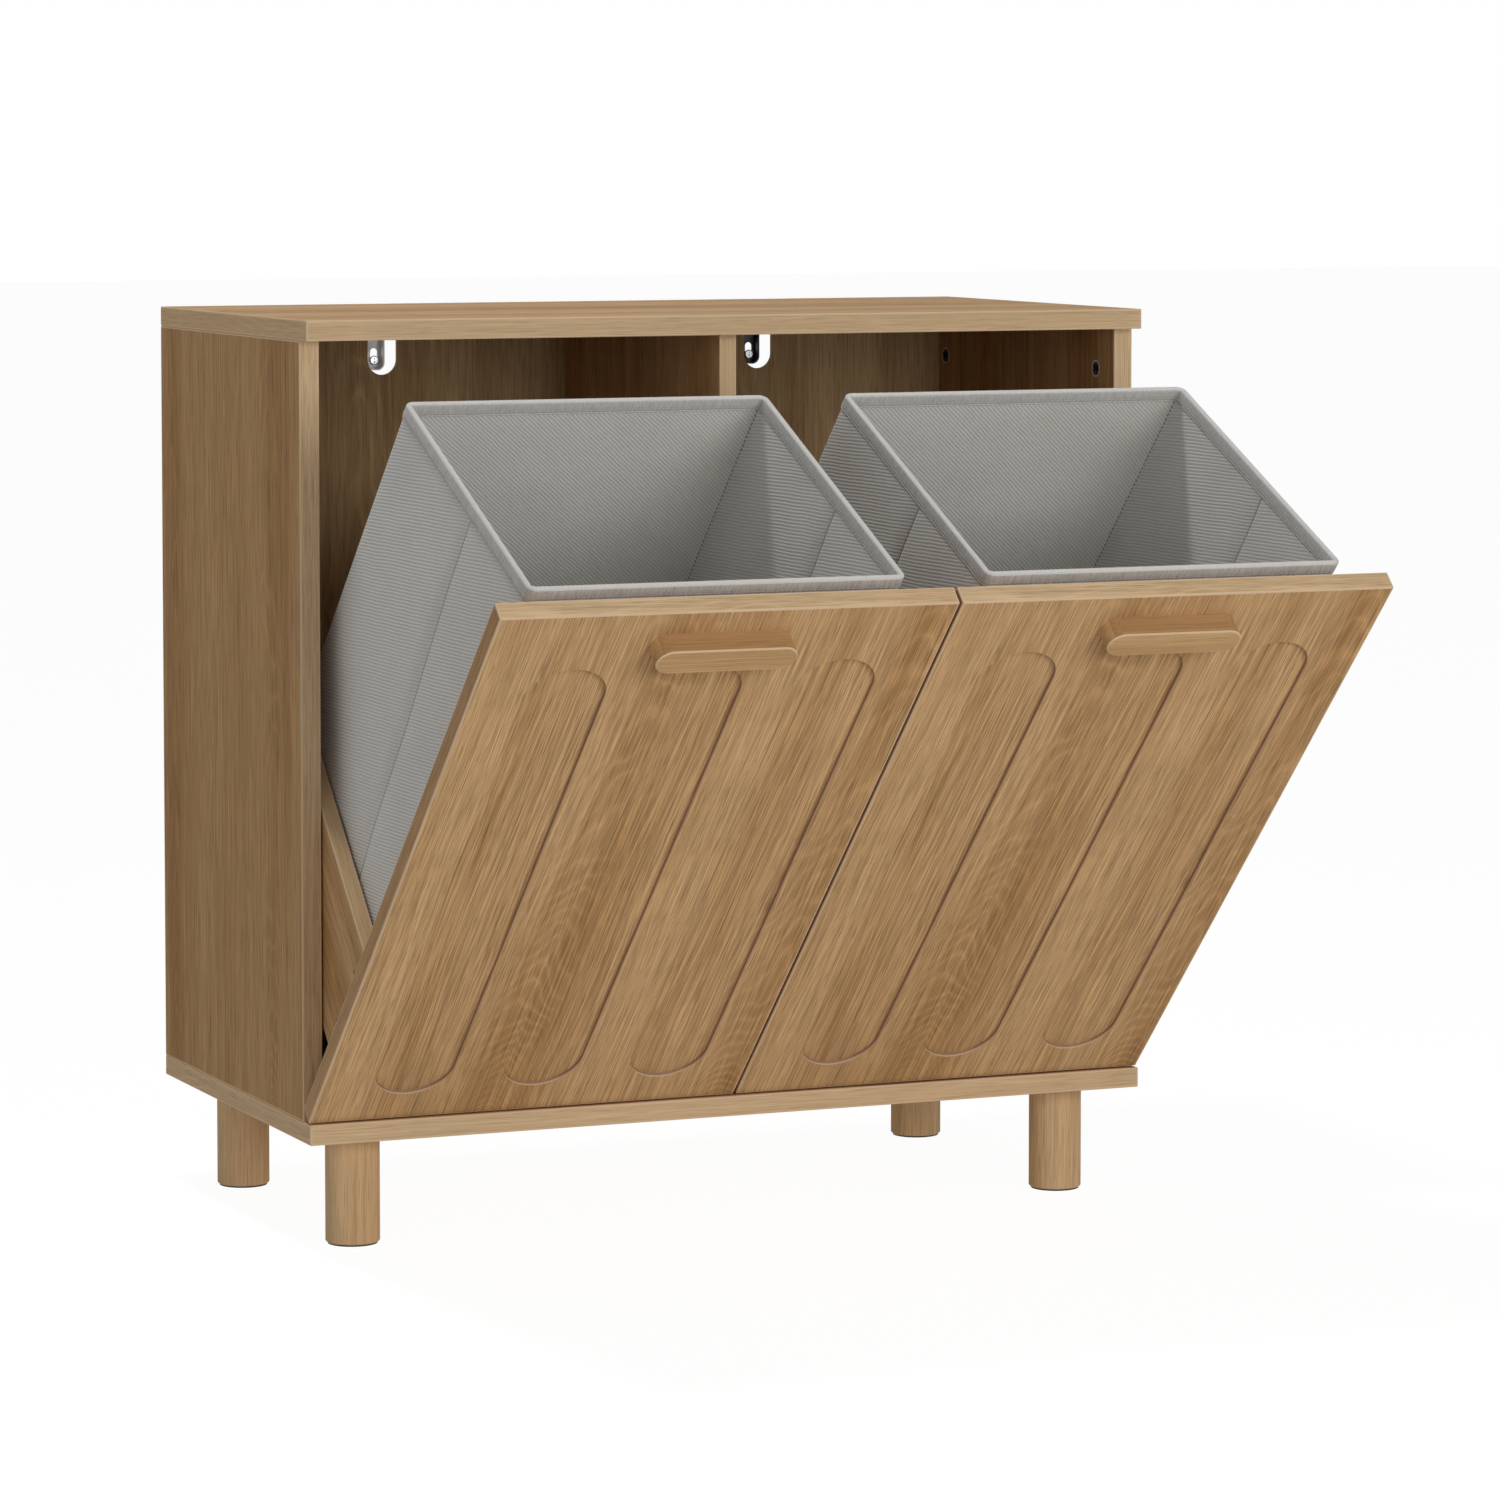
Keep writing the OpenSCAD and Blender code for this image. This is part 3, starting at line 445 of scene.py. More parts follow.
def near_heart(wiring, aside, width):
    """1 on a heart line, fading out beside it."""
    share = wiring.math("DIVIDE", aside, width)
    return wiring.math("EXPONENT", wiring.product(share, share, -1.0))


def oak_rings(wiring, given, place, seeded):
    """How near the hearts are, and the pale and the dark halves of the growth rings round them."""
    waver = wiring.product(wiring.less_half(wiring.speckle(seeded, *HEART_WAVER)), given["Waver"])
    distances = []
    shares = []
    for heart in ("Heart", "Side Heart"):
        distance, aside = heart_distance(wiring, place, given[heart], waver)
        distances.append(distance)
        shares.append(near_heart(wiring, aside, given[f"{heart} Width"]))
    distance = wiring.math("SMOOTH_MIN", *distances, HEART_BLEND)
    hearts = wiring.math("ADD", *shares)
    jitter = wiring.speckle(seeded, *RING_JITTER)
    count = wiring.math("ADD", wiring.math("DIVIDE", distance, given["Ring Width"]), jitter)
    swing = wiring.math("SINE", wiring.math("MULTIPLY", count, math.tau))
    patches = wiring.step(wiring.speckle(seeded, *RING_PATCH), *PATCH_STEP)
    strength = wiring.product(wiring.math("MINIMUM", hearts, 1.0), given["Rings"], patches)
    pale_ring = wiring.product(wiring.step(swing, *PALE_RING_STEP), strength)
    dark_ring = wiring.product(wiring.step(swing, *DARK_RING_STEP), strength)
    return hearts, pale_ring, dark_ring


def build_oak_group():
    """Oak with rings round two heart lines, broad bands, streaks, fibres and pores."""
    wiring, given, result = new_group(
        "Oak grain",
        [("Place", "Vector"), ("Seed", "Vector"), ("Pale", "Color"), ("Warm", "Color"),
         ("Dark", "Color"), ("Heart", "Vector"), ("Heart Width", "Float"), ("Side Heart", "Vector"),
         ("Side Heart Width", "Float"), ("Waver", "Float"), ("Ring Width", "Float"),
         ("Rings", "Float"), ("Pores", "Float"), ("Contrast", "Float")],
        [("Color", "Color"), ("Roughness", "Float"), ("Height", "Float")])
    flat_place = wiring.millimetres(given["Place"])
    seeded = wiring.vector("ADD", flat_place, given["Seed"])
    wander = wiring.less_half(wiring.speckle(seeded, *WANDER))
    drift = wiring.join(wiring.math("MULTIPLY", wander, WANDER_REACH), 0.0, 0.0)
    ring_place = wiring.vector("ADD", flat_place, drift)
    hearts, pale_ring, dark_ring = oak_rings(wiring, given, ring_place, seeded)
    moved = wiring.vector("ADD", seeded, drift)
    band = wiring.step(wiring.speckle(moved, *BAND), *BAND_STEP)
    cloud = wiring.step(wiring.speckle(moved, *CLOUD), *CLOUD_STEP)
    streak = wiring.less_half(wiring.speckle(moved, *STREAK))
    fibre = wiring.less_half(wiring.speckle(moved, *FIBRE))
    warmth = wiring.weigh(0.0, zip((band, hearts, cloud, streak), WARMTH))
    body = wiring.blend(wiring.step(warmth, *WARMTH_STEP), given["Pale"], given["Warm"])
    tone = wiring.math("MULTIPLY_ADD", fibre, given["Contrast"], 1.0)
    tone = wiring.weigh(tone, zip((streak, pale_ring, dark_ring), TONE))
    lit = wiring.vector("MULTIPLY", body, wiring.join(tone, tone, tone))
    pore = wiring.step(wiring.speckle(moved, *PORE), *PORE_STEP)
    crowd = wiring.weigh(CROWD, zip((dark_ring, pale_ring), RING_CROWD))
    clearness = wiring.math("MINIMUM", given["Contrast"], 1.0)
    pore_mask = wiring.product(pore, crowd, given["Pores"], clearness)
    wiring.feed(result["Color"], wiring.blend(pore_mask, lit, given["Dark"]))
    wiring.feed(result["Roughness"], wiring.math("MULTIPLY_ADD", pore, PORE_ROUGHNESS, OAK_ROUGHNESS))
    raised = wiring.math("MULTIPLY", fibre, FIBRE_HEIGHT)
    wiring.feed(result["Height"], wiring.math("SUBTRACT", raised, pore_mask))


RIB_SWAY = Speckle((45, 45, 45), 2)
RIB_SWAY_REACH = 2.2
SLUB = Speckle((1.1, 1.1, 1.1), 2)
CLOTH_CLOUD = Speckle((60, 60, 60), 2)
YARN_HEIGHT = 0.16
SLUB_HEIGHT = 0.5
CLOUD_TINT = 0.5
TINT_STEP = (-0.1, 1.1)
CLOTH_ROUGHNESS = 0.82
SLUB_ROUGHNESS = 0.1


def build_twill_group():
    """Twill cloth: slanting ribs with short floats and slubs."""
    wiring, given, result = new_group(
        "Twill cloth",
        [("Place", "Vector"), ("Normal", "Vector"), ("Rib", "Float"), ("Light", "Color"),
         ("Shade", "Color")],
        [("Color", "Color"), ("Roughness", "Float"), ("Height", "Float")])
    place = wiring.millimetres(given["Place"])
    x, y, z = wiring.split(place)
    facing = wiring.split(wiring.vector("ABSOLUTE", given["Normal"]))
    sideways = wiring.math("GREATER_THAN", facing[0], FACES_MOSTLY)
    level = wiring.math("GREATER_THAN", facing[2], FACES_MOSTLY)
    along = wiring.blend_vector(sideways, wiring.join(x, z, 0.0), wiring.join(y, z, 0.0))
    along = wiring.blend_vector(level, along, wiring.join(x, y, 0.0))
    first, second, _ = wiring.split(along)
    diagonal = 1 / math.sqrt(2)
    sway = wiring.math("MULTIPLY", wiring.speckle(place, *RIB_SWAY), RIB_SWAY_REACH)
    across = wiring.math("MULTIPLY", wiring.math("ADD", first, second), diagonal)
    across = wiring.math("ADD", across, sway)
    length = wiring.math("MULTIPLY", wiring.math("SUBTRACT", first, second), diagonal)
    pitch = wiring.math("MULTIPLY", given["Rib"], 1 / MM)
    turns = wiring.math("DIVIDE", across, pitch)
    swing = wiring.math("SINE", wiring.math("MULTIPLY", turns, math.tau))
    rib = wiring.math("MULTIPLY_ADD", swing, 0.5, 0.5)
    row = wiring.math("FLOOR", turns)
    float_turns = wiring.math("MULTIPLY_ADD", row, 0.5, wiring.math("DIVIDE", length, pitch))
    yarn = wiring.math("SINE", wiring.math("MULTIPLY", float_turns, math.tau))
    slub = wiring.speckle(place, *SLUB)
    cloud = wiring.speckle(place, *CLOTH_CLOUD)
    height = wiring.weigh(rib, ((yarn, YARN_HEIGHT), (wiring.less_half(slub), SLUB_HEIGHT)))
    tint = wiring.math("MULTIPLY_ADD", wiring.less_half(cloud), CLOUD_TINT, height)
    shade = wiring.step(tint, *TINT_STEP)
    wiring.feed(result["Color"], wiring.blend(shade, given["Shade"], given["Light"]))
    wiring.feed(result["Roughness"], wiring.math("MULTIPLY_ADD", slub, SLUB_ROUGHNESS, CLOTH_ROUGHNESS))
    wiring.feed(result["Height"], height)


# Where the painted shade line and the painted highlight line of a sewn fold lie behind its seam, and
# half their widths
CREASE_SHADE = (0.4, 0.65)
CREASE_HIGHLIGHT = (-0.9, 0.6)


def build_seam_group():
    """How far below a basket's slanting rim a place lies, and the painted shade and painted highlight
    lines of its fold seams.
    """
    wiring, given, result = new_group(
        "Basket seams",
        [("Place", "Vector"), ("Normal", "Vector"), ("Rim Start", "Float"), ("Rim Slope", "Float"),
         ("Fold Start", "Float"), ("Fold Slope", "Float")],
        [("Rim Depth", "Float"), ("Crease Shade", "Float"), ("Crease Highlight", "Float")])
    _, y, z = wiring.split(given["Place"])
    rim = wiring.math("MULTIPLY_ADD", y, given["Rim Slope"], given["Rim Start"])
    depth = wiring.math("MULTIPLY", wiring.math("SUBTRACT", rim, z), 1 / MM)
    fold = wiring.math("MULTIPLY_ADD", z, given["Fold Slope"], given["Fold Start"])
    behind = wiring.math("MULTIPLY", wiring.math("SUBTRACT", y, fold), 1 / MM)
    facing = wiring.split(wiring.vector("ABSOLUTE", given["Normal"]))
    side_wall = wiring.math("GREATER_THAN", facing[0], FACES_HALF)
    wiring.feed(result["Rim Depth"], depth)
    for label, line in (("Crease Shade", CREASE_SHADE), ("Crease Highlight", CREASE_HIGHLIGHT)):
        on_line = wiring.math("COMPARE", behind, *line)
        wiring.feed(result[label], wiring.math("MULTIPLY", on_line, side_wall))


ROLLING_MARKS = Speckle((0.35, 0.35, 9), 2)
METAL_SPOTS = Speckle((2.4, 2.4, 2.4), 3)
DULL_PATCH = Speckle((9, 9, 9), 2)
DULL_STEP = (0.35, 0.7)
PATCH_SHADE = -0.35
PATCH_DULLNESS = 0.12
MARK_DULLNESS = 0.14
SPOT_HEIGHT = 0.6


def build_metal_group():
    """Plated or painted metal with fine rolling marks, spots and dulled patches."""
    wiring, given, result = new_group(
        "Metal finish",
        [("Place", "Vector"), ("Metal", "Color"), ("Dull", "Float"), ("Wear", "Float")],
        [("Color", "Color"), ("Roughness", "Float"), ("Height", "Float")])
    place = wiring.millimetres(given["Place"])
    marks = wiring.speckle(place, *ROLLING_MARKS)
    spots = wiring.speckle(place, *METAL_SPOTS)
    patch = wiring.step(wiring.speckle(place, *DULL_PATCH), *DULL_STEP)
    patch_shade = wiring.math("MULTIPLY", given["Wear"], PATCH_SHADE)
    shade = wiring.weigh(1.0, ((patch, patch_shade), (wiring.less_half(spots), given["Wear"])))
    shaded = wiring.vector("MULTIPLY", given["Metal"], wiring.join(shade, shade, shade))
    wiring.feed(result["Color"], shaded)
    dullness = ((patch, PATCH_DULLNESS), (wiring.less_half(marks), MARK_DULLNESS))
    wiring.feed(result["Roughness"], wiring.weigh(given["Dull"], dullness))
    wiring.feed(result["Height"], wiring.math("MULTIPLY_ADD", spots, SPOT_HEIGHT, marks))


def build_groups():
    """Builds every shared group once."""
    build_board_group()
    build_oak_group()
    build_twill_group()
    build_seam_group()
    build_metal_group()


# Where a surface lies


def own_place(wiring, side=None):
    """Place and normal in the piece's own axes: the cabinet's, or a shut door's from its pivot."""
    coordinates = wiring.add("ShaderNodeTexCoord")
    place, normal = coordinates.outputs["Object"], coordinates.outputs["Normal"]
    if side is None:
        return place, normal
    joint = joint_of(side)
    turned = []
    for source, origin in ((place, joint["pos_m"]), (normal, (0, 0, 0))):
        mapping = wiring.add("ShaderNodeMapping", vector_type="TEXTURE")
        wiring.feed(mapping.inputs["Vector"], source)
        mapping.inputs["Location"].default_value = origin
        mapping.inputs["Rotation"].default_value[0] = math.radians(joint["range_deg"][1])
        turned.append(mapping.outputs[0])
    return turned


def axis_order(axes):
    """The numbers of the axes across the grain, through the board and along the grain."""
    return ["xyz".index(axis) for axis in axes]


def grain_axes(wiring, source, axes):
    """A vector's parts in grain axes."""
    parts = wiring.split(source)
    return wiring.join(*(parts[number] for number in axis_order(axes)))


def board_start(low, high, axes):
    """The middle of a box's lower end in grain axes."""
    centre = (low + high) / 2
    across, through, along = axis_order(axes)
    return centre[across], centre[through], low[along]


def half_size(low, high, axes):
    """Half the size of a box in grain axes."""
    half = (high - low) / 2
    return tuple(half[number] for number in axis_order(axes))


# Oak boards

# Axes across, through and along the grain, and the seed of the noise. Each heart is a place across,
# a depth behind the face and a climb along the grain, in millimetres, with a width. After them come
# how far the rings waver, the width of a ring, the names of two colours and the fibres' contrast.
Board = namedtuple(
    "Board",
    "axes seed heart heart_width side_heart side_heart_width waver ring faces contrast",
    defaults=("xyz", 0, (0, 60, 0), 60, (900, 60, 0), 60, 20, 5.0, ("pale", "warm"), 1.0))

UPRIGHT_SIDE = "yxz"
FLAT_LENGTHWISE = "yzx"
UPRIGHT_BACK = "xyz"
TRAY_SIDE = "zxy"
CROSSWISE = "zyx"

# The side panels take the darker copies of the wood, as painted shade
SHADED_SIDE_FACES = ("side", "side_warm")
CARCASS = {
    "top_panel": Board(FLAT_LENGTHWISE, 3, (40, 30, 5), 40, (-260, 60, 0), 40),
    "bottom_panel": Board(FLAT_LENGTHWISE, 11, (-30, 40, 4), 40),
    "left_side_panel": Board(
        UPRIGHT_SIDE, 5, (-118, 10, 9), 26, (165, 20, 4), 30, 26, 4.4, SHADED_SIDE_FACES, 1.4),
    "right_side_panel": Board(
        UPRIGHT_SIDE, 8, (60, 20, 9), 30, (-150, 20, 4), 30, 26, 4.4, SHADED_SIDE_FACES, 1.4),
    "centre_divider": Board(UPRIGHT_SIDE, 14, (20, 40, 6), 40),
    "back_panel": Board(
        UPRIGHT_BACK, 17, (-210, 30, 8), 40, (150, 30, 8), 40, 26, 4.4, ("inner", "inner_warm")),
}
DOOR = Board(UPRIGHT_BACK, 23, (-36, 2, 22), 36, (184, 0, 16), 34, 30, 4.2, contrast=1.7)
HANDLE = Board(CROSSWISE, 31, (400, 60, 0), 20, contrast=0.6)
TRAY = {
    "tray_outer_side": Board(TRAY_SIDE, 37, (0, 40, 5), 30),
    "tray_inner_side": Board(TRAY_SIDE, 41, (0, 40, 5), 30),
    "tray_front": Board(CROSSWISE, 43, (0, 40, 0), 30),
    "tray_back": Board(CROSSWISE, 47, (0, 40, 0), 30),
    "tray_base": Board(FLAT_LENGTHWISE, 53, (0, 40, 0), 30),
}
# The feet take the paler copies of the wood, with painted light in the shade under the cabinet
FOOT = Board(UPRIGHT_BACK, 59, (60, 40, 0), 30, faces=("turned", "turned_warm"), contrast=0.65)
FEET = ("foot_back_left", "foot_back_right", "foot_front_left", "foot_front_right")

# How far apart in the noise the seeds of two boards lie
SEED_STRIDE = (137.0, 71.0, 913.0)
# How much fainter the grain is where the surface is calm
CALM = 0.5
OAK_GLOSS = 0.03
OAK_BUMP = (0.25, 0.25 * MM)
# How strongly the painted highlight on edges, the painted shade on door sides and handle tops, and the
# recess walls take their own colours
HIGHLIGHT_SHARE = 0.8
DOOR_SIDE_SHADE_SHARE = 0.7
HANDLE_TOP_SHADE_SHARE = 0.6
RECESS_SHARE = 0.7
DOOR_SIDE_SHADE_FACING = 0.6
HANDLE_HIGHLIGHT_FACING = (0.2, 0.97)
RECESS_MARGIN = 2 * MM


def put_oak(wiring, shader, look, board, place, pale, warm, calm=0.0):
    """Feeds oak grain, fainter where the surface is calm, to a shader, and gives back its outputs."""
    contrast = wiring.math("MULTIPLY_ADD", calm, -CALM * board.contrast, board.contrast)
    grain = wiring.group(
        "Oak grain", place=place, seed=tuple(board.seed * stride for stride in SEED_STRIDE),
        pale=pale, warm=warm, dark=rgba(look.dark), heart=board.heart,
        heart_width=board.heart_width, side_heart=board.side_heart,
        side_heart_width=board.side_heart_width, waver=board.waver, ring_width=board.ring,
        rings=look.rings, pores=look.pores, contrast=contrast)
    wiring.feed(shader.inputs["Roughness"], grain["Roughness"])
    shader.inputs["Specular IOR Level"].default_value = OAK_GLOSS
    put_bump(wiring, shader, grain["Height"], *OAK_BUMP)
    return grain


def face_colours(look, board):
    """The lightest and the redder colour of a board's wood."""
    return [rgba(getattr(look, name)) for name in board.faces]


def recess_wall(wiring, place, facing, low, high):
    """1 on the routed walls of a door's recesses, which face aside within the door's outline."""
    aside, _, height = wiring.split(place)
    half_width = (high.x - low.x) / 2
    return wiring.product(
        wiring.math("LESS_THAN", facing[1], FACES_HALF),
        wiring.math("LESS_THAN", wiring.math("ABSOLUTE", aside), half_width - RECESS_MARGIN),
        wiring.math("LESS_THAN", height, high.z - low.z - RECESS_MARGIN),
        wiring.math("GREATER_THAN", height, RECESS_MARGIN))


def own_grain(wiring, board, low, high, side=None):
    """Place and facing of a board in its grain axes, with the place from the board's lower end."""
    place, normal = (grain_axes(wiring, source, board.axes) for source in own_place(wiring, side))
    place = wiring.vector("SUBTRACT", place, board_start(low, high, board.axes))
    return place, normal


def oak_material(name, look, board, low, high, side=None, routed=False):
    """Oak for one board: faces, lighter edge bands, a painted highlight along its edges, painted shade
    on a door's sides and routed walls.
    """
    material, wiring, shader = new_material(name)
    place, normal = own_grain(wiring, board, low, high, side)
    pale, warm = face_colours(look, board)
    half = half_size(low, high, board.axes)
    faces = wiring.group("Board faces", place=place, normal=normal, half=half)
    edge = faces["Edge Band"]
    warm_band = tuple((band + pale_part) / 2 for band, pale_part in zip(look.band, look.pale))
    pale = wiring.blend(edge, pale, rgba(look.band))
    warm = wiring.blend(edge, warm, rgba(warm_band))
    facing = wiring.split(wiring.vector("ABSOLUTE", normal))
    # A door's sides take the warm wood, as painted shade
    if routed:
        sides = wiring.math("GREATER_THAN", facing[0], DOOR_SIDE_SHADE_FACING)
        sides = wiring.math("MULTIPLY", sides, DOOR_SIDE_SHADE_SHARE)
        pale = wiring.blend(sides, pale, rgba(look.warm))
        warm = wiring.blend(sides, warm, rgba(look.warm))
    colour = put_oak(wiring, shader, look, board, faces["Place"], pale, warm, edge)["Color"]
    if routed:
        wall = wiring.math("MULTIPLY", recess_wall(wiring, place, facing, low, high), RECESS_SHARE)
        colour = wiring.blend(wall, colour, rgba(look.groove))
    # A painted highlight along the eased edges
    line = wiring.math("MULTIPLY", faces["Edge Highlight"], HIGHLIGHT_SHARE)
    wiring.feed(shader.inputs["Base Color"], wiring.blend(line, colour, rgba(look.line)))
    return material


def handle_material(name, look, board, low, high, side):
    """Oak for a rounded handle: a top made warmer and darker as painted shade, and a painted highlight
    where its front turns away.
    """
    material, wiring, shader = new_material(name)
    place, normal = own_grain(wiring, board, low, high, side)
    pale, warm = face_colours(look, board)
    facing = wiring.split(wiring.vector("ABSOLUTE", normal))
    # The top takes the warm wood, as painted shade
    top = wiring.math("GREATER_THAN", facing[0], FACES_MOSTLY)
    pale = wiring.blend(wiring.math("MULTIPLY", top, HANDLE_TOP_SHADE_SHARE), pale, warm)
    colour = put_oak(wiring, shader, look, board, place, pale, warm)["Color"]
    # A painted highlight where the front turns away
    side_on, square_on = HANDLE_HIGHLIGHT_FACING
    line = wiring.product(
        wiring.math("LESS_THAN", facing[1], square_on),
        wiring.math("GREATER_THAN", facing[1], side_on), HIGHLIGHT_SHARE)
    wiring.feed(shader.inputs["Base Color"], wiring.blend(line, colour, rgba(look.line)))
    return material


def turned_material(name, look, board, low, high):
    """Oak for a turned foot, with its grain upright."""
    material, wiring, shader = new_material(name)
    place, _ = own_grain(wiring, board, low, high)
    grain = put_oak(wiring, shader, look, board, place, *face_colours(look, board))
    wiring.feed(shader.inputs["Base Color"], grain["Color"])
    return material


def dress(node, material):
    """Gives a CAD node its material."""
    mesh = NODES[node].data
    mesh.materials.clear()
    mesh.materials.append(material)


# Metal, pads and dowels

# A colour, how dull the surface is and how much wear it has, how metallic, and its bump's strength and
# distance
Finish = namedtuple("Finish", "colour dull wear metallic bump", defaults=(1.0, (0.15, 0.05 * MM)))

ZINC = Finish(paint(214, 215, 218), 0.24, 0.1)
# Pale, barely metallic zinc whose brightness is a painted reflection
ZINC_PAINTED_REFLECTION = Finish(paint(238, 239, 241), 0.45, 0.05, 0.35)
DARK_METAL = Finish(paint(74, 74, 78), 0.4, 0.3)
PAD = Finish(paint(16, 15, 15), 0.6, 0.3, 0.0, (0.4, 0.1 * MM))
BEECH = (paint(214, 184, 146), paint(196, 160, 118))

# Width of a cam across its round face, and of its rim, which is painted pale as a highlight
CAM_SIZE = 16 * MM
CAM_HIGHLIGHT_RIM = 1.6 * MM
CAM_FACE_METALLIC = 0.8
CAM_HIGHLIGHT_METALLIC = 0.1

ZINC_NODES = ("foot_bolts", "cam_bolts", "bracket_screws", "wall_screws", "hinge_plate_screws")
DARK_NODES = ("right_wall_bracket", "hinge_arms")
UNIT_ZINC = ("handle_screws", "tray_bolts", "tray_screws", "hinge_leaves", "hinge_pins", "leaf_screws")


def put_finish(wiring, shader, place, finish):
    """Feeds a metal or rubber finish to a shader and gives back its outputs."""
    made = wiring.group("Metal finish", place=place, metal=rgba(finish.colour), dull=finish.dull,
                        wear=finish.wear)
    wiring.feed(shader.inputs["Roughness"], made["Roughness"])
    put_bump(wiring, shader, made["Height"], *finish.bump)
    return made


def finish_material(name, finish, side=None):
    """Bare, plated or painted metal, or a soft pad with a fine grain."""
    material, wiring, shader = new_material(name)
    place, _ = own_place(wiring, side)
    made = put_finish(wiring, shader, place, finish)
    wiring.feed(shader.inputs["Base Color"], made["Color"])
    shader.inputs["Metallic"].default_value = finish.metallic
    return material


def cam_material():
    """Die-cast cams with a dark face and a rim painted pale and barely metallic as a highlight."""
    material, wiring, shader = new_material("cams")
    place, _ = own_place(wiring)
    made = put_finish(wiring, shader, place, DARK_METAL)
    low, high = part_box("cam_locks")
    centre = (low + high) / 2
    reach = (high - low) / 2
    folded = wiring.vector("ABSOLUTE", wiring.vector("SUBTRACT", place, centre))
    radius = CAM_SIZE / 2
    corner = (0, reach.y - radius, reach.z - radius)
    _, aside, above = wiring.split(wiring.vector("SUBTRACT", folded, corner))
    squares = wiring.math("ADD", wiring.product(aside, aside), wiring.product(above, above))
    # The rim is painted pale and barely metallic, as a highlight
    rim = wiring.math("GREATER_THAN", squares, (radius - CAM_HIGHLIGHT_RIM) ** 2)
    wiring.feed(shader.inputs["Base Color"], wiring.blend(rim, made["Color"], rgba(ZINC.colour)))
    rise = CAM_HIGHLIGHT_METALLIC - CAM_FACE_METALLIC
    metallic = wiring.math("MULTIPLY_ADD", rim, rise, CAM_FACE_METALLIC)
    wiring.feed(shader.inputs["Metallic"], metallic)
    return material


def dowel_material(look):
    """Bare beech for the dowels."""
    material, wiring, shader = new_material("beech")
    place, _ = own_place(wiring)
    grain = put_oak(wiring, shader, look, FOOT, place, *(rgba(colour) for colour in BEECH))
    wiring.feed(shader.inputs["Base Color"], grain["Color"])
    return material


# Basket meshes, in the shut door's frame


def smooth(value, low, high):
    """A smooth step from 0 to 1."""
    share = min(1, max(0, (value - low) / (high - low)))
    return share * share * (3 - 2 * share)


